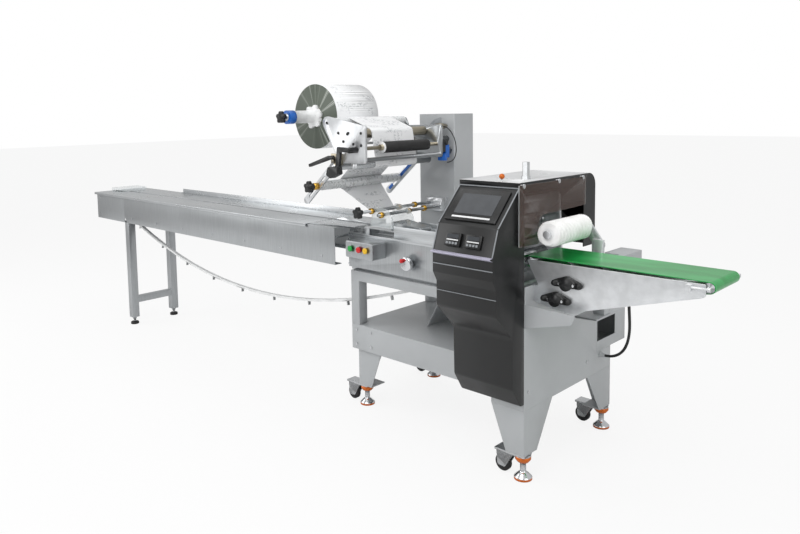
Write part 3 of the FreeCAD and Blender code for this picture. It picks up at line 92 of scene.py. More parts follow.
class Finish:
    """Material whose nodes are added by node() and whose shader is set by shader()."""

    def __init__(self, name):
        self.material = bpy.data.materials.new(name)
        self.material.use_nodes = True
        self.tree = self.material.node_tree
        self.bsdf = self.tree.nodes["Principled BSDF"]

    def feed(self, socket, value):
        if isinstance(value, Value):
            self.tree.links.new(value.socket, socket)
        else:
            socket.default_value = value

    def node(self, kind, settings=None, inputs=None, output=0):
        made = self.tree.nodes.new(kind)
        for key, value in (settings or {}).items():
            setattr(made, key, value)
        for key, value in (inputs or {}).items():
            self.feed(made.inputs[key], value)
        return Value(self, made.outputs[output])

    def rays(self, along, scale, detail):
        """Noise along one value."""
        return self.node("ShaderNodeTexNoise", {"noise_dimensions": "1D"},
                         {"W": along, "Scale": scale, "Detail": detail})

    def place(self, scale=(1, 1, 1), origin=(0, 0, 0)):
        """Object coordinates, moved to an origin and scaled."""
        raw = self.node("ShaderNodeTexCoord", output="Object")
        moved = self.node("ShaderNodeVectorMath", {"operation": "SUBTRACT"}, {0: raw, 1: tuple(origin)})
        return self.node("ShaderNodeVectorMath", {"operation": "MULTIPLY"}, {0: moved, 1: tuple(scale)})

    def noise(self, scale, detail=3, stretch=(1, 1, 1)):
        """Noise over the object, stretched along its axes."""
        return self.node("ShaderNodeTexNoise", None,
                         {"Vector": self.place(stretch), "Scale": scale, "Detail": detail})

    def band(self, value, low, high, first=0.0, last=1.0):
        """Value between two limits as a share, or as a number from first to last."""
        return self.node("ShaderNodeMapRange", None,
                         {"Value": value, FROM_LOW: low, FROM_HIGH: high, TO_LOW: first, TO_HIGH: last})

    def mix(self, share, first, second):
        return self.node("ShaderNodeMix", {"data_type": "RGBA"},
                         {MIX_SHARE: share, MIX_FIRST: first, MIX_SECOND: second}, output=MIX_RESULT)

    def bump(self, height, strength, distance=0.001):
        return self.node("ShaderNodeBump", None,
                         {"Height": height, "Strength": strength, "Distance": distance})

    def shader(self, **sockets):
        for key, value in sockets.items():
            self.feed(self.bsdf.inputs[key.replace("_", " ")], value)
        return self.material


def painted(name, colour, roughness, tone=0.06, peel=0.05, coat=0.0):
    """Sprayed paint: slight changes of tone, soft orange peel."""
    f = Finish(name)
    base = linear(colour)
    darker = [c * (1 - tone * 2) for c in base[:3]] + [1]
    cloud = f.noise(3.2, 4)
    return f.shader(Base_Color=f.mix(f.band(cloud, 0.35, 0.65), darker, base),
                    Roughness=f.band(f.noise(11, 3), 0.3, 0.7, roughness - 0.04, roughness + 0.05),
                    Coat_Weight=coat, Coat_Roughness=0.12, Normal=f.bump(f.noise(420, 2), peel, 0.0004))


def brushed(name, colour, roughness, along="x", depth=0.12):
    """Metal with brushing lines along one axis."""
    f = Finish(name)
    stretch = {"x": (1.2, 90, 90), "y": (90, 1.2, 90), "z": (90, 90, 1.2)}[along]
    lines = f.noise(9, 4, stretch)
    base = linear(colour)
    pale = [min(1, c * 1.12) for c in base[:3]] + [1]
    dark = [c * 0.86 for c in base[:3]] + [1]
    return f.shader(Base_Color=f.mix(f.band(lines, 0.3, 0.7), dark, pale), Metallic=1.0,
                    Roughness=f.band(f.noise(4.5, 3), 0.3, 0.7, roughness - 0.05, roughness + 0.07),
                    Normal=f.bump(lines, depth, 0.0003))


def moulded(name, colour, roughness, grain=0.1, metallic=0.0):
    """Moulded plastic, rubber or plated metal with a fine grain."""
    f = Finish(name)
    base = linear(colour)
    pale = [min(1, c * 1.15 + 0.004) for c in base[:3]] + [1]
    return f.shader(Base_Color=f.mix(f.band(f.noise(26, 4), 0.35, 0.65), base, pale), Metallic=metallic,
                    Roughness=f.band(f.noise(60, 3), 0.3, 0.7, roughness - 0.04, roughness + 0.06),
                    Normal=f.bump(f.noise(700, 2), grain, 0.0003))


def film_finish(name):
    """White packaging film with faint grey rows of a plain pattern."""
    f = Finish(name)
    rows = f.noise(26, 2, (1, 0.35, 1))
    marks = f.noise(140, 3, (1, 0.6, 1))
    ink = f.band(rows, 0.5, 0.62) * f.band(marks, 0.5, 0.56)
    return f.shader(Base_Color=f.mix(ink * 0.55, linear("F3F4F5"), linear("9EA1A6")), Roughness=0.24,
                    Coat_Weight=0.3, Coat_Roughness=0.08, Normal=f.bump(f.noise(18, 3), 0.12, 0.002))


def reel_end_finish(name, centre):
    """End of a film roll: grey-green edge with pale rays."""
    f = Finish(name)
    here = f.place(origin=centre)
    x = f.node("ShaderNodeSeparateXYZ", None, {0: here}, output="X")
    z = f.node("ShaderNodeSeparateXYZ", None, {0: here}, output="Z")
    turn = x.maths("ARCTAN2", z, x)
    broad = f.rays(turn * 2.6 + 7.3, 1.6, 4)
    fine = f.rays(turn * 30, 1.0, 2)
    radius = f.node("ShaderNodeVectorMath", {"operation": "LENGTH"}, {0: here}, output="Value")
    rings = f.rays(radius * 900, 1.0, 2)
    pale = f.band(broad, 0.56, 0.68) * f.band(fine, 0.3, 0.6)
    tone = f.mix(pale, linear("5C6459"), linear("B5BAB2"))
    return f.shader(Base_Color=f.mix(f.band(rings, 0.4, 0.6) * 0.22, tone, linear("3C423A")),
                    Roughness=0.42, Normal=f.bump(rings, 0.2, 0.0004))


def smoked(name):
    """Smoky brown acrylic."""
    f = Finish(name)
    f.material.surface_render_method = "BLENDED"
    haze = f.noise(5, 3)
    return f.shader(Base_Color=linear("4A352B"), Roughness=0.08, Alpha=f.band(haze, 0.3, 0.7, 0.50, 0.56),
                    Coat_Weight=0.4, Coat_Roughness=0.04)


def clear(name):
    """Clear acrylic, mostly see-through."""
    f = Finish(name)
    f.material.surface_render_method = "BLENDED"
    return f.shader(Base_Color=linear("E6ECEE"), Roughness=0.06,
                    Alpha=f.band(f.noise(6, 2), 0.3, 0.7, 0.3, 0.36))


def belt_finish(name):
    """Green belt with a fine weave."""
    f = Finish(name)
    weave = f.noise(900, 2)
    cloud = f.noise(7, 4, (0.5, 2, 1))
    tone = f.mix(f.band(cloud, 0.35, 0.65), linear("12913F"), linear("2DB35A"))
    return f.shader(Base_Color=tone, Roughness=0.3, Coat_Weight=0.25, Coat_Roughness=0.2,
                    Normal=f.bump(weave, 0.08, 0.0003))


REEL_X, REEL_Z = -212, 1318
FINISHES = {
    "grey paint": painted("grey paint", "B4B7B9", 0.38, coat=0.15),
    # White for the panel's lines, and also a painted highlight on the hood's top and on the outfeed side
    # plates' top edges.
    "white sheet and painted highlight": painted("white sheet and painted highlight", "E9EAEB", 0.3),
    "black paint": painted("black paint", "0C0D0E", 0.38, tone=0.1, coat=0.08),
    "dark trim": painted("dark trim", "2A2C2F", 0.4),
    "grey trim": painted("grey trim", "8F9397", 0.35),
    "screen bezel": moulded("screen bezel", "08090A", 0.3),
    "screen": moulded("screen", "3A3D41", 0.12, 0.02),
    "lilac band": painted("lilac band", "B9B6C9", 0.3),
    "panel stainless": brushed("panel stainless", "B5B8BA", 0.33, "z"),
    "tray stainless": brushed("tray stainless", "CDD0D2", 0.27, "x"),
    "aluminium": brushed("aluminium", "CBCDCF", 0.36, "y", 0.06),
    "plate aluminium": moulded("plate aluminium", "D6D8DA", 0.34, 0.05, 0.75),
    "white roller": moulded("white roller", "DADCDD", 0.28, 0.04, 0.3),
    "beige metal": brushed("beige metal", "A79F8D", 0.3, "y"),
    "steel": brushed("steel", "A9ACAE", 0.28, "y"),
    "zinc": moulded("zinc", "C3C5C7", 0.22, 0.08, 1.0),
    "chrome": moulded("chrome", "D5D7D9", 0.1, 0.02, 1.0),
    "brass": moulded("brass", "C79B3E", 0.24, 0.04, 1.0),
    "orange ring": moulded("orange ring", "C9661E", 0.36, 0.06, 0.4),
    "kraft": moulded("kraft", "A07C58", 0.7, 0.2),
    "blue": moulded("blue", "1F62B8", 0.3, 0.05),
    "dark blue": moulded("dark blue", "23306F", 0.35, 0.05),
    "black plastic": moulded("black plastic", "161718", 0.38),
    "black rubber": moulded("black rubber", "111112", 0.55, 0.2),
    "white plastic": moulded("white plastic", "E7E8E8", 0.4),
    "bristle": moulded("bristle", "F1F1EF", 0.75, 0.3),
    "film": film_finish("film"),
    "reel end": reel_end_finish("reel end", at(REEL_X, 0, REEL_Z)),
    "smoked pane": smoked("smoked pane"),
    "clear plate": clear("clear plate"),
    "belt green": belt_finish("belt green"),
    "green button": moulded("green button", "1E9A40", 0.22, 0.03),
    "red button": moulded("red button", "C3171C", 0.22, 0.03),
    "yellow button": moulded("yellow button", "DDB11E", 0.22, 0.03),
}


# ---- Making pieces -----------------------------------------------------------------------------------------
MERGE_DISTANCE = 2e-6
FLAT_ANGLE, BEVEL_ANGLE, SMOOTH_ANGLE = math.radians(0.6), math.radians(40), math.radians(35)


def finish_mesh(mesh):
    """Smooth shading, with sharp edges where faces turn a corner."""
    mesh.shade_smooth()
    mesh.set_sharp_from_angle(angle=SMOOTH_ANGLE)


def piece(name, mesh, body, *finishes):
    """Object at the origin with its finishes, riding on a body."""
    made = bpy.data.objects.new(name, mesh)
    bpy.context.scene.collection.objects.link(made)
    for index, finish in enumerate(finishes):
        if index < len(mesh.materials):
            mesh.materials[index] = FINISHES[finish]
        else:
            mesh.materials.append(FINISHES[finish])
    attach(made, body)
    return made


def body_of(node):
    """Body that carries a CAD node."""
    for body, nodes in frame["record"]["behaviour"]["bodies"].items():
        if node in nodes:
            return body
    return MACHINE


def dressed(node, finishes, pick=None, bevel=0.0):
    """Smooth copy of a CAD node, each face with the finish that pick names for its centre and normal.

    The bevel is the width of the softened edges in metres."""
    bm = bmesh.new()
    bm.from_mesh(frame["nodes"][node].data)
    bmesh.ops.remove_doubles(bm, verts=bm.verts, dist=MERGE_DISTANCE)
    if bevel:
        bmesh.ops.dissolve_limit(bm, angle_limit=FLAT_ANGLE, verts=bm.verts, edges=bm.edges)
    bm.normal_update()
    if pick:
        for face in bm.faces:
            centre = drawn(face.calc_center_median())
            face.material_index = finishes.index(pick(centre, face.normal))
    mesh = bpy.data.meshes.new(node + "_shape")
    bm.to_mesh(mesh)
    bm.free()
    made = piece(node + "_piece", mesh, body_of(node), *finishes)
    if bevel:
        edge = made.modifiers.new("edges", "BEVEL")
        edge.width, edge.segments, edge.limit_method = bevel, 2, "ANGLE"
        edge.angle_limit = BEVEL_ANGLE
        edge.use_clamp_overlap = True
        made.data = flattened(made)
        made.modifiers.clear()
    finish_mesh(made.data)
    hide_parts(node)
    return made


def flattened(made):
    """Mesh of an object with its modifiers applied."""
    deps = bpy.context.evaluated_depsgraph_get()
    deps.update()
    return bpy.data.meshes.new_from_object(
        made.evaluated_get(deps), preserve_all_data_layers=True, depsgraph=deps)


HEAD_SIDES, MIDDLE_SIDES = 18, 6
MIDDLE_WIDTH, MIDDLE_HEIGHT = 0.55, 1.5


def fastener_tree():
    """Row of screw heads: a mesh line carries a round head with a hexagonal middle that stands proud."""
    tree = bpy.data.node_groups.new("fastener row", "GeometryNodeTree")
    face = tree.interface
    face.new_socket("Geometry", in_out="OUTPUT", socket_type="NodeSocketGeometry")
    kinds = (("Start", "NodeSocketVector"), ("Step", "NodeSocketVector"), ("Count", "NodeSocketInt"),
             ("Radius", "NodeSocketFloat"), ("Height", "NodeSocketFloat"), ("Turn", "NodeSocketVector"),
             ("Finish", "NodeSocketMaterial"))
    names = {label: face.new_socket(label, in_out="INPUT", socket_type=kind).identifier
             for label, kind in kinds}
    nodes, links = tree.nodes, tree.links
    entry, leave = nodes.new("NodeGroupInput"), nodes.new("NodeGroupOutput")
    line = nodes.new("GeometryNodeMeshLine")
    line.mode = "OFFSET"
    links.new(entry.outputs["Count"], line.inputs["Count"])
    links.new(entry.outputs["Start"], line.inputs["Start Location"])
    links.new(entry.outputs["Step"], line.inputs["Offset"])
    head = nodes.new("GeometryNodeMeshCylinder")
    head.inputs["Vertices"].default_value = HEAD_SIDES
    links.new(entry.outputs["Radius"], head.inputs["Radius"])
    links.new(entry.outputs["Height"], head.inputs["Depth"])
    middle = nodes.new("GeometryNodeMeshCylinder")
    middle.inputs["Vertices"].default_value = MIDDLE_SIDES
    for source, share, target in (("Radius", MIDDLE_WIDTH, "Radius"), ("Height", MIDDLE_HEIGHT, "Depth")):
        times = nodes.new("ShaderNodeMath")
        times.operation = "MULTIPLY"
        times.inputs[1].default_value = share
        links.new(entry.outputs[source], times.inputs[0])
        links.new(times.outputs[0], middle.inputs[target])
    both = nodes.new("GeometryNodeJoinGeometry")
    links.new(head.outputs["Mesh"], both.inputs[0])
    links.new(middle.outputs["Mesh"], both.inputs[0])
    place = nodes.new("GeometryNodeInstanceOnPoints")
    links.new(line.outputs["Mesh"], place.inputs["Points"])
    links.new(both.outputs[0], place.inputs["Instance"])
    links.new(entry.outputs["Turn"], place.inputs["Rotation"])
    real = nodes.new("GeometryNodeRealizeInstances")
    links.new(place.outputs[0], real.inputs[0])
    paint = nodes.new("GeometryNodeSetMaterial")
    links.new(real.outputs[0], paint.inputs[0])
    links.new(entry.outputs["Finish"], paint.inputs["Material"])
    links.new(paint.outputs[0], leave.inputs[0])
    return tree, names


FASTENERS, FASTENER_INPUTS = fastener_tree()
TURNS = {"x": (0, math.pi / 2, 0), "y": (math.pi / 2, 0, 0), "z": (0, 0, 0)}


def fasteners(name, body, axis, rows, radius, height, finish="zinc"):
    """Rows of screw heads; each row is (start, step, count) in drawing millimetres."""
    whole = bmesh.new()
    for start, step, count in rows:
        mesh = bpy.data.meshes.new(name)
        holder = bpy.data.objects.new(name + "_row", mesh)
        bpy.context.scene.collection.objects.link(holder)
        tree = holder.modifiers.new("row", "NODES")
        tree.node_group = FASTENERS
        values = {"Start": tuple(at(*start)), "Step": tuple(Vector(step) / 1000), "Count": count,
                  "Radius": radius / 1000, "Height": height / 1000, "Turn": TURNS[axis],
                  "Finish": FINISHES[finish]}
        for label, value in values.items():
            tree[FASTENER_INPUTS[label]] = value
        whole.from_mesh(flattened(holder))
        bpy.data.objects.remove(holder)
    mesh = bpy.data.meshes.new(name)
    whole.to_mesh(mesh)
    whole.free()
    finish_mesh(mesh)
    return piece(name, mesh, body, finish)


def block(bm, x0, x1, y0, y1, z0, z1, material=0, soft=0.0):
    """Box between drawing planes, with softened edges."""
    low, high = at(x0, y0, z0), at(x1, y1, z1)
    made = bmesh.ops.create_cube(bm, size=1)["verts"]
    for v in made:
        v.co = Vector([(a + b) / 2 + c * (b - a) for a, b, c in zip(low, high, v.co)])
    faces = {f for v in made for f in v.link_faces}
    for f in faces:
        f.material_index = material
    if soft:
        edges = list({e for f in faces for e in f.edges})
        bmesh.ops.bevel(bm, geom=edges, offset=soft / 1000, segments=2, affect="EDGES",
                        clamp_overlap=True)


def ring_sweep(bm, sections, material=0):
    """Skin between rings of points, closed at both ends."""
    rings = [[bm.verts.new(p) for p in ring] for ring in sections]
    count = len(rings[0])
    for a, b in zip(rings, rings[1:]):
        for i in range(count):
            face = bm.faces.new((a[i], a[(i + 1) % count], b[(i + 1) % count], b[i]))
            face.material_index = material
    for ring in (rings[0], rings[-1]):
        bm.faces.new(ring).material_index = material
    bmesh.ops.recalc_face_normals(bm, faces=bm.faces)


def built(name, body, finishes, make):
    """Piece whose mesh is made by make."""
    bm = bmesh.new()
    make(bm)
    bmesh.ops.recalc_face_normals(bm, faces=bm.faces)
    mesh = bpy.data.meshes.new(name)
    bm.to_mesh(mesh)
    bm.free()
    finish_mesh(mesh)
    return piece(name, mesh, body, *finishes)


# ---- Base, feet and infeed ---------------------------------------------------------------------------------
for node in ("base_frame", "lower_apron", "side_panel", "legs", "rear_box", "outfeed_bracket",
             "outfeed_drive_cover"):
    dressed(node, ["grey paint"], bevel=0.0012)
dressed("film_column", ["grey paint"], bevel=0.0008)
MOTOR_RIGHT = 590
dressed("drive_motor", ["dark trim", "plate aluminium"],
        lambda c, n: "dark trim" if c.x < MOTOR_RIGHT else "plate aluminium")
dressed("infeed_side_panels", ["panel stainless"], bevel=0.0006)
dressed("infeed_crossmembers", ["tray stainless"])
dressed("infeed_tray", ["tray stainless"], bevel=0.0005)
CLEAR_PLATE_RIGHT, CLEAR_PLATE_LOW = -2270, 832
dressed("infeed_fence", ["tray stainless", "clear plate"],
        lambda c, n: "clear plate" if c.x < CLEAR_PLATE_RIGHT and c.z > CLEAR_PLATE_LOW
        else "tray stainless", bevel=0.0005)
dressed("infeed_stand", ["panel stainless"], bevel=0.0015)
STAND_PAD_TOP = 19
dressed("stand_feet", ["black rubber", "zinc"],
        lambda c, n: "black rubber" if c.z < STAND_PAD_TOP else "zinc")
dressed("body_panels", ["panel stainless"], bevel=0.0008)
dressed("deck", ["tray stainless"], bevel=0.0008)
dressed("button_box", ["panel stainless"], bevel=0.0015)
HANDWHEEL_CAP_LOW, HANDWHEEL_CAP_REAR = 706, -116
dressed("handwheel", ["red button", "chrome"],
        lambda c, n: "red button" if c.z > HANDWHEEL_CAP_LOW and c.y < HANDWHEEL_CAP_REAR else "chrome")
for name, finish in (("start_button", "green button"), ("stop_button", "red button"),
                     ("inch_button", "yellow button")):
    dressed(name, [finish])

FEET = {"front_left": (-3, -37), "rear_left": (-3, 437),
        "front_right": (900, -138), "rear_right": (900, 451)}
PAD_REACH, PAD_TOP, PAD_RIM_TOP, PAD_RIM_INSIDE = 34, 30, 8.5, 20
COLLAR_REACH, COLLAR_LOW, COLLAR_TOP = 31, 64, 86.5


def caster_finish(c, n):
    """Orange at each foot's rim and collar, chrome on the rest of its pad."""
    for x, y in FEET.values():
        reach = math.hypot(c.x - x, c.y - y)
        if reach < PAD_REACH and c.z < PAD_TOP:
            return "orange ring" if c.z < PAD_RIM_TOP and reach > PAD_RIM_INSIDE else "chrome"
        if reach < COLLAR_REACH and COLLAR_LOW < c.z < COLLAR_TOP:
            return "orange ring"
    return "zinc"


dressed("levelling_casters", ["zinc", "chrome", "orange ring"], caster_finish)
for corner in FEET:
    dressed("caster_wheel_" + corner, ["black rubber"])


PUSHER_LOW, LOWER_RUN_TOP = 818.5, 500


def chain_finish(c, n):
    """Steel on the pushers above the tray and on the end faces of those under the hanging run."""
    on_pusher = c.z > PUSHER_LOW or (c.z < LOWER_RUN_TOP and abs(n.x) > 0.8)
    return "steel" if on_pusher else "white plastic"


dressed("pusher_chain", ["white plastic", "steel"], chain_finish)
PULLEY_HALF = 14
dressed("chain_pulleys", ["white plastic", "steel"],
        lambda c, n: "steel" if abs(c.y) > PULLEY_HALF else "white plastic")

fasteners("panel_screws", MACHINE, "y",
          [((-2380, -164, 800), (0, 0, -110), 2), ((-1950, -167, 690), (300, 0, 0), 7),
           ((-40, -99, 770), (560, 0, 0), 2), ((-40, -99, 660), (560, 0, 0), 2)], 5, 2.6)
fasteners("apron_bolts", MACHINE, "y",
          [((-20, -81.2, 355), (0, 0, -66), 2), ((70, -81.2, 355), (0, 0, -66), 2)], 6, 3)
fasteners("side_bolts", MACHINE, "x",
          [((922.5, -140, 600), (0, 230, 0), 2), ((922.5, -140, 330), (0, 420, 0), 2)], 6, 3)

# ---- Film head ---------------------------------------------------------------------------------------------
CHUCK_FRONT, FILM_HALF_WIDTH = -262, 134
FILM_RIM, CORE_OUTSIDE, CORE_INSIDE = 144, 44.5, 37


def reel_finish(c, n):
    """Blue chuck end, white chucks, and the roll of film with its end faces and its core."""
    reach = math.hypot(c.x - REEL_X, c.z - REEL_Z)
    if c.y < CHUCK_FRONT:
        return "blue"
    if c.y < -FILM_HALF_WIDTH or c.y > FILM_HALF_WIDTH:
        return "white plastic"
    if reach > FILM_RIM:
        return "film"
    if reach > CORE_OUTSIDE:
        return "reel end" if abs(n.y) > 0.7 else "white plastic"
    return "kraft" if reach > CORE_INSIDE else "white plastic"


dressed("film_reel", ["film", "reel end", "kraft", "white plastic", "blue"], reel_finish)

# Under the folding box's top the web is narrower, as it is folded there.
FOLD_TOP, FOLDED_WIDTH = 912, 0.6
web = dressed("film_web", ["film"])
for v in web.data.vertices:
    if drawn(v.co).z < FOLD_TOP:
        v.co.y = SHIFT.y + (v.co.y - SHIFT.y) * FOLDED_WIDTH


REEL_SHAFT_REACH = 17.5
PLATE_INSIDE, STEEL_BEHIND = 239, 241
BAR_LEFT, BAR_RIGHT, BAR_LOW, BAR_TOP = 99, 151, 1199, 1209
BEIGE_BAR_X, BEIGE_BAR_Z, BEIGE_BAR_REACH = 200, 1187, 9


def head_finish(c, n):
    """Plates in aluminium, steel between and behind them, one flat bar in aluminium and one beige bar."""
    if math.hypot(c.x - REEL_X, c.z - REEL_Z) < REEL_SHAFT_REACH:
        return "steel"
    if BAR_LEFT < c.x < BAR_RIGHT and BAR_LOW < c.z < BAR_TOP and abs(c.y) < PLATE_INSIDE:
        return "aluminium"
    if abs(c.y) < PLATE_INSIDE or c.y > STEEL_BEHIND:
        beige = math.hypot(c.x - BEIGE_BAR_X, c.z - BEIGE_BAR_Z) < BEIGE_BAR_REACH
        return "beige metal" if beige else "steel"
    return "plate aluminium"


dressed("film_head_frame", ["plate aluminium", "steel", "aluminium", "beige metal"], head_finish)
ARM_END_LEFT, ARM_END_LOW, ARM_END_INSIDE, ARM_INSIDE = 33, 1117, 238, 248


def arm_finish(c, n):
    """Arms in aluminium with beige upper ends and steel between them."""
    if c.z > ARM_END_LOW and abs(c.y) > ARM_END_INSIDE and c.x > ARM_END_LEFT:
        return "beige metal"
    return "steel" if abs(c.y) < ARM_INSIDE else "plate aluminium"


dressed("dancer_arms", ["plate aluminium", "beige metal", "steel"], arm_finish)
for name in ("idler_roller", "dancer_roller"):
    dressed(name, ["white roller"])
dressed("wrap_roller", ["beige metal"])


RUBBER_FRONT = -124.5


def rubber_finish(c, n):
    """Rubber sleeve with white ends and a beige front journal."""
    if c.y < RUBBER_FRONT:
        return "beige metal"
    return "white plastic" if abs(n.y) > 0.7 else "black rubber"


dressed("rubber_roller", ["black rubber", "white plastic", "beige metal"], rubber_finish)
BRASS_X, BRASS_Z, BRASS_REACH, BRASS_FRONT, BRASS_REAR = -47, 1022, 16, -296, -269.5


def knob_finish(c, n):
    """Black knobs and levers with one brass nut."""
    reach = math.hypot(c.x - BRASS_X, c.z - BRASS_Z)
    return "brass" if BRASS_FRONT < c.y < BRASS_REAR and reach < BRASS_REACH else "black plastic"


dressed("knobs_and_levers", ["black plastic", "brass"], knob_finish)

SENSOR_HEAD_TOP, SENSOR_PLATE_FRONT, SENSOR_PLATE_REAR = 1210, 285.5, 290.5


def sensor_finish(c, n):
    """Black sensor head, grey plate and beige holder."""
    if c.z < SENSOR_HEAD_TOP:
        return "black plastic"
    return "grey trim" if SENSOR_PLATE_FRONT < c.y < SENSOR_PLATE_REAR else "beige metal"


dressed("print_sensor", ["grey trim", "beige metal", "black plastic"], sensor_finish)
BOX_INSIDE = 61
dressed("folding_box", ["clear plate", "tray stainless"],
        lambda c, n: "clear plate" if abs(c.y) > BOX_INSIDE else "tray stainless")

CARRIER_PLATE_FRONT, CARRIER_BARS, CARRIER_BAR_REACH = 305.5, ((92, 905), (150, 893)), 7.6


def carrier_finish(c, n):
    """Steel bars with brass collars on an aluminium plate."""
    if c.y > CARRIER_PLATE_FRONT:
        return "plate aluminium"
    reach = min(math.hypot(c.x - x, c.z - z) for x, z in CARRIER_BARS)
    return "brass" if reach > CARRIER_BAR_REACH or (abs(n.y) > 0.7 and c.y > -100) else "steel"


dressed("fold_carrier", ["steel", "brass", "plate aluminium"], carrier_finish)
dressed("film_channel", ["tray stainless"], bevel=0.0005)


def bar_between(bm, first, last, half, y0, y1, material=0):
    """Flat bar in the XZ plane from one drawing point to another."""
    (x0, z0), (x1, z1) = first, last
    length = math.hypot(x1 - x0, z1 - z0)
    nx, nz = -(z1 - z0) / length * half, (x1 - x0) / length * half
    corners = [(x0 + nx, z0 + nz), (x1 + nx, z1 + nz), (x1 - nx, z1 - nz), (x0 - nx, z0 - nz)]
    ring_sweep(bm, [[at(x, y, z) for x, z in corners] for y in (y0, y1)], material)


built("arm_scales", MACHINE, ["blue", "dark blue"], lambda bm: (
    bar_between(bm, (30, 1092), (-52, 1020), 7, 247, 250, 0),
    bar_between(bm, (-92, 984), (-116, 962), 7, 247, 250, 0)))
built("head_clamps", MACHINE, ["blue", "brass"], lambda bm: (
    block(bm, 196, 236, 242, 262, 1110, 1142, 0, 2), block(bm, 206, 226, 262, 292, 1122, 1180, 0, 2),
    block(bm, 186, 214, 242, 250, 1174, 1200, 1, 2)))
fasteners("head_screws", MACHINE, "y",
          [((70, -251, 1250), (60, 0, 0), 2), ((100, -251, 1215), (60, 0, -10), 2),
           ((205, -251, 1250), (0, 0, -50), 2), ((0, -251, 1292), (1, 0, 0), 1),
           ((125, -251, 1246), (1, 0, 0), 1)], 6, 3, "black plastic")
fasteners("column_screws", MACHINE, "y",
          [((190, 335.5, 700), (0, 0, 60), 2), ((30, 335.5, 700), (0, 0, 60), 2)], 5, 2)

# ---- Cabinet and end sealer --------------------------------------------------------------------------------
PROFILE = {"top": (-197, 1065), "knee": (-322, 940), "ledge": (-355, 848)}


def sloped(first, last, share, lift, x):
    """Point on a sloping face of the cabinet, lifted off it."""
    (y0, z0), (y1, z1) = PROFILE[first], PROFILE[last]
    length = math.hypot(y1 - y0, z1 - z0)
    ny, nz = (z1 - z0) / length, -(y1 - y0) / length
    return at(x, y0 + (y1 - y0) * share + ny * lift, z0 + (z1 - z0) * share + nz * lift)


def slab(bm, first, last, share0, share1, x0, x1, low, high, material=0):
    """Plate on a sloping face of the cabinet, from one share of its length to another."""
    corners = [(share0, x0), (share0, x1), (share1, x1), (share1, x0)]
    ring_sweep(bm, [[sloped(first, last, s, lift, x) for s, x in corners] for lift in (low, high)],
               material)


LILAC_LOW, LILAC_TOP, LILAC_REAR = 834, 849, -345


def cabinet_finish(c, n):
    """Black with one lilac band along the ledge."""
    return "lilac band" if LILAC_LOW < c.z < LILAC_TOP and c.y < LILAC_REAR else "black paint"


dressed("control_cabinet", ["black paint", "lilac band"], cabinet_finish, bevel=0.001)
dressed("operator_panel", ["screen bezel"], bevel=0.0015)


SCREEN_LEFT, SCREEN_RIGHT, SCREEN_LIFT = 712, 874, 7
DISPLAY_LEFTS, DISPLAY_WIDTH, DISPLAY_LIFT = (724, 812), 50, 9
KEYS, KEY_STEP, KEY_WIDTH = 4, 13, 9
SCREEN, WHITE, GREY = 0, 1, 2


def panel_details(bm):
    """Screen with a white line under it, and two controllers with a display, a line and a row of keys."""
    slab(bm, "top", "knee", 0.24, 0.74, SCREEN_LEFT, SCREEN_RIGHT, SCREEN_LIFT, 8, SCREEN)
    slab(bm, "top", "knee", 0.80, 0.84, SCREEN_LEFT, SCREEN_RIGHT, SCREEN_LIFT, 7.6, WHITE)
    for left in DISPLAY_LEFTS:
        slab(bm, "knee", "ledge", 0.36, 0.50, left, left + DISPLAY_WIDTH, DISPLAY_LIFT, 10, SCREEN)
        slab(bm, "knee", "ledge", 0.54, 0.58, left, left + DISPLAY_WIDTH, DISPLAY_LIFT, 9.6, WHITE)
        for k in range(KEYS):
            key = left + KEY_STEP * k
            slab(bm, "knee", "ledge", 0.64, 0.72, key, key + KEY_WIDTH, DISPLAY_LIFT, 10.4, GREY)


built("panel_screens", MACHINE, ["screen", "white sheet and painted highlight", "grey trim"], panel_details)


CABINET_LEFT, CABINET_RIGHT = 664, 922
TRIM_HEIGHT = 1.2


def trim(bm):
    """Strips up both sides of the sloping faces, and three across the front."""
    for x0, x1 in ((CABINET_LEFT, 668), (918, 922.6)):
        slab(bm, "top", "knee", 0.0, 0.99, x0, x1, 0, TRIM_HEIGHT)
        slab(bm, "knee", "ledge", 0.02, 0.98, x0, x1, 0, TRIM_HEIGHT)
    block(bm, CABINET_LEFT, CABINET_RIGHT, -201, -197, 1064, 1068)
    block(bm, CABINET_LEFT, CABINET_RIGHT, -357.2, -354.8, 800, 803)
    block(bm, CABINET_LEFT, CABINET_RIGHT, -337.2, -334.8, 700, 702)


built("cabinet_trim", MACHINE, ["grey trim"], trim)


HOOD_TOP, HOOD_HIGHLIGHT_LOW = 1085.5, 1070
KNOB_X, KNOB_Y, KNOB_REACH, KNOB_CAP_LOW = 846, -192, 14, 1095


def hood_finish(c, n):
    """Black hood whose upward faces at the top are painted white as a painted highlight; what stands on it is
    chrome, and one knob's cap is orange.
    """
    if c.z > HOOD_TOP:
        on_knob = math.hypot(c.x - KNOB_X, c.y - KNOB_Y) < KNOB_REACH
        return "orange ring" if on_knob and c.z > KNOB_CAP_LOW else "chrome"
    # Painted highlight: the upward faces of the top are white instead of the hood's black.
    return "white sheet and painted highlight" if n.z > 0.6 and c.z > HOOD_HIGHLIGHT_LOW else "black paint"


dressed("sealer_hood", ["black paint", "white sheet and painted highlight", "orange ring", "chrome"], hood_finish)
dressed("hood_window", ["smoked pane", "clear plate"],
        lambda c, n: "smoked pane" if abs(n.x) > 0.7 else "clear plate")
dressed("sealer_frame", ["plate aluminium"], bevel=0.001)
for name in ("lower_jaw", "upper_jaw"):
    dressed(name, ["zinc"])
fasteners("pane_screws", MACHINE, "x",
          [((935.5, y, 1074), (0, 0, 0), 1) for y in (-190, 40, 215)], 8, 3, "chrome")

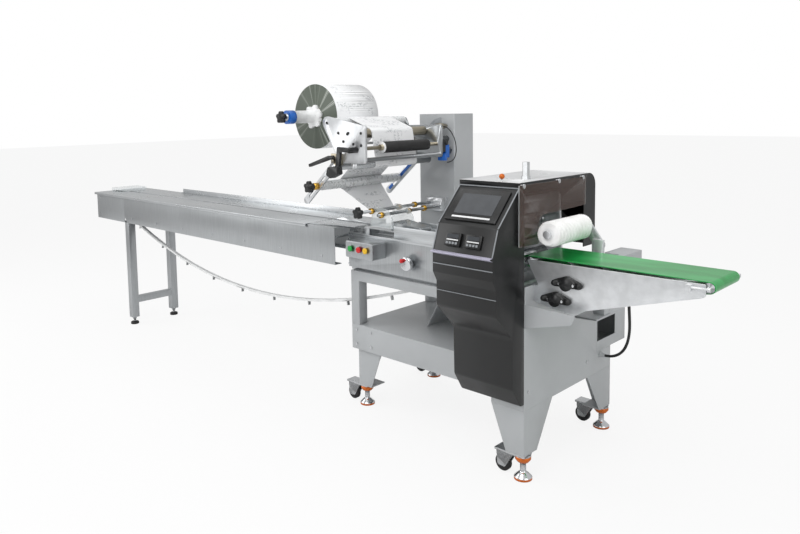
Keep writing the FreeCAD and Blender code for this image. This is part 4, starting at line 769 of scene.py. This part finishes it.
# ---- Outfeed -----------------------------------------------------------------------------------------------
dressed("outfeed_belt", ["belt green"])
dressed("outfeed_rollers", ["steel"])
# The upward faces of the side plates' top edges are painted white as a painted highlight; the rest is
# aluminium.
SIDE_PLATE_HIGHLIGHT_LOW = 800
dressed("outfeed_side_plates", ["plate aluminium", "white sheet and painted highlight"],
        lambda c, n: "white sheet and painted highlight" if n.z > 0.8 and c.z > SIDE_PLATE_HIGHLIGHT_LOW
        else "plate aluminium", bevel=0.0006)
dressed("flange_bearings", ["black plastic"])
dressed("brush_arm", ["plate aluminium"], bevel=0.0008)
BEARING_SCREW_SPAN = 52
fasteners("bearing_screws", MACHINE, "y",
          [((x - BEARING_SCREW_SPAN / 2, -128, z), (BEARING_SCREW_SPAN, 0, 0), 2)
           for x, z in ((1061, 740), (1019, 679))], 5, 4, "chrome")
fasteners("pivot_washer", MACHINE, "y", [((1048, 144, 838), (1, 0, 0), 1)], 16, 3)


BRUSH_X, BRUSH_Z, BRUSH_FRONT, BRUSH_REAR = 1000, 908, -140, 92
BRUSH_BORE, BRUSH_HUB, BRUSH_REACH = 7.1, 22, 41.5
BRUSH_RINGS, BRUSH_SIDES = 96, 72
RIDGE, RIDGE_TWIST, TUFT, END_TAPER = 3.2, 0.30, 0.9, 0.9


def brush_ring(y, reach_at):
    """Ring of points round the brush's axis; reach_at gives the radius at each angle."""
    angles = [2 * math.pi * i / BRUSH_SIDES for i in range(BRUSH_SIDES)]
    return [at(BRUSH_X + reach_at(a) * math.cos(a), y, BRUSH_Z + reach_at(a) * math.sin(a)) for a in angles]


def tufted_ring(k):
    """Ring of tufts, number k from the front."""
    depth = (BRUSH_REAR - BRUSH_FRONT) * k / BRUSH_RINGS
    taper = END_TAPER if k in (0, BRUSH_RINGS) else 1
    return brush_ring(BRUSH_FRONT + depth, lambda a: taper * (
        BRUSH_REACH + RIDGE * math.sin(a * 2 + depth * RIDGE_TWIST) + TUFT * math.sin(a * 36 + k * 2.1)))


def brush(bm):
    """Bristle roller: tufts set in a screw thread round a hub, with a bore for its shaft."""
    bore = [brush_ring(y, lambda a: BRUSH_BORE) for y in (BRUSH_FRONT, BRUSH_REAR)]
    hub = [brush_ring(y, lambda a: BRUSH_HUB) for y in (BRUSH_FRONT, BRUSH_REAR)]
    rings = [bore[0], hub[0], *(tufted_ring(k) for k in range(BRUSH_RINGS + 1)), hub[1], bore[1]]
    loops = [[bm.verts.new(p) for p in ring] for ring in rings]
    loops.append(loops[0])
    hub_faces = (0, len(loops) - 3)
    for index, (a, b) in enumerate(zip(loops, loops[1:])):
        for i in range(BRUSH_SIDES):
            after = (i + 1) % BRUSH_SIDES
            face = bm.faces.new((a[i], a[after], b[after], b[i]))
            face.material_index = 1 if index in hub_faces else 0


brush_piece = built("brush_bristles", "brush_roller", ["bristle", "white plastic"], brush)
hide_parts("brush_roller")

# ---- Cables ------------------------------------------------------------------------------------------------
# Radius and points of each cable, from its gland or its sensor onwards.
CABLES = {
    "outfeed_cable": (5.5, [(946, 387, 334), (980, 387, 334), (1050, 352, 376), (1100, 290, 500),
                            (1124, 212, 610), (1124, 212, 690)]),
    "sensor_cable": (2.2, [(200, 276, 1264), (226, 276, 1264), (266, 286, 1216), (260, 302, 1134),
                           (214, 322, 1096), (180, 322, 1096), (180, 336, 1096)]),
}


def route(name, radius, points):
    """Cable on one smooth curve through the drawing's points."""
    curve = bpy.data.curves.new(name + "_line", "CURVE")
    curve.dimensions = "3D"
    spline = curve.splines.new("NURBS")
    spline.points.add(len(points) - 1)
    for control, point in zip(spline.points, points):
        control.co = (*at(*point), 1)
    spline.order_u, spline.use_endpoint_u, spline.resolution_u = 4, True, 24
    made = bpy.data.objects.new(name + "_line", curve)
    bpy.context.scene.collection.objects.link(made)
    bare = flattened(made)
    curve.bevel_depth, curve.bevel_resolution, curve.use_fill_caps = radius / 1000, 4, True
    curve.materials.append(FINISHES["black rubber"])
    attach(made, MACHINE)
    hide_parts(name)
    tuple(at(*points[0]))


for name, (radius, points) in CABLES.items():
    route(name, radius, points)

# ---- Camera, light and floor -------------------------------------------------------------------------------
CAMERA = (2310, -2304.93, 1341.63)
YAW, PITCH, ROLL = math.radians(44.82), math.radians(5.56), math.radians(-1.02)
LENS, SENSOR, SHIFT_ACROSS, SHIFT_UP = 32.747, 36, 0.0339, -0.1073
ahead = Vector((-math.sin(YAW) * math.cos(PITCH), math.cos(YAW) * math.cos(PITCH), -math.sin(PITCH)))
side = Vector((math.cos(YAW), math.sin(YAW), 0))
up = side.cross(ahead)
across = side * math.cos(ROLL) + up * math.sin(ROLL)
rise = up * math.cos(ROLL) - side * math.sin(ROLL)
camera = bpy.data.objects.new("camera", bpy.data.cameras.new("camera"))
bpy.context.scene.collection.objects.link(camera)
turn = Matrix((across, rise, -ahead)).transposed().to_4x4()
camera.matrix_world = Matrix.Translation(at(*CAMERA)) @ turn
camera.data.lens, camera.data.sensor_width = LENS, SENSOR
camera.data.shift_x, camera.data.shift_y = SHIFT_ACROSS, SHIFT_UP
bpy.context.scene.camera = camera

LAMP_AIM = (-300, 100, 700)
for name, place, size, energy in (
    ("key", (900, -2600, 3200), 2.4, 46), ("fill", (3400, -600, 1900), 2.2, 16),
    ("left", (-3400, -2400, 2400), 2.6, 40), ("top", (-400, 300, 3600), 3.4, 26),
):
    lamp = bpy.data.objects.new(name, bpy.data.lights.new(name, "AREA"))
    lamp.data.shape, lamp.data.size, lamp.data.energy = "SQUARE", size, energy
    lamp.location = at(*place)
    lamp.rotation_euler = (at(*LAMP_AIM) - lamp.location).to_track_quat("-Z", "Y").to_euler()
    bpy.context.scene.collection.objects.link(lamp)

# The world lights the machine less brightly than the camera sees it.
WORLD_LIGHT, WORLD_SEEN = 0.6, 1.0
world = bpy.data.worlds.new("studio")
bpy.context.scene.world = world
world.use_nodes = True
sky = world.node_tree.nodes["Background"]
path = world.node_tree.nodes.new("ShaderNodeLightPath")
strength = world.node_tree.nodes.new("ShaderNodeMapRange")
sky.inputs["Color"].default_value = (1, 1, 1, 1)
world.node_tree.links.new(path.outputs["Is Camera Ray"], strength.inputs["Value"])
strength.inputs[TO_LOW].default_value, strength.inputs[TO_HIGH].default_value = WORLD_LIGHT, WORLD_SEEN
world.node_tree.links.new(strength.outputs[0], sky.inputs["Strength"])

# To the camera the floor mostly glows white; to everything else it is pale and matt.
FLOOR_GLOW, FLOOR_HALF = 0.86, 30
floor_finish = Finish("floor")
seen = floor_finish.node("ShaderNodeLightPath")
glow = floor_finish.node("ShaderNodeEmission", None, {"Color": (1, 1, 1, 1), "Strength": 1.0})
floor_finish.shader(Base_Color=(0.86, 0.86, 0.86, 1), Roughness=0.6)
blend = floor_finish.tree.nodes.new("ShaderNodeMixShader")
floor_finish.feed(blend.inputs[0], seen * FLOOR_GLOW)
links = floor_finish.tree.links
links.new(floor_finish.bsdf.outputs[0], blend.inputs[1])
links.new(glow.socket, blend.inputs[2])
links.new(blend.outputs[0], floor_finish.tree.nodes["Material Output"].inputs["Surface"])
ground = bpy.data.meshes.new("floor")
ground.from_pydata([(x * FLOOR_HALF, y * FLOOR_HALF, 0) for x, y in ((-1, -1), (1, -1), (1, 1), (-1, 1))],
                   [], [(0, 1, 2, 3)])
ground.materials.append(floor_finish.material)
floor = bpy.data.objects.new("floor", ground)
bpy.context.scene.collection.objects.link(floor)

bpy.context.scene.view_settings.view_transform = "Standard"
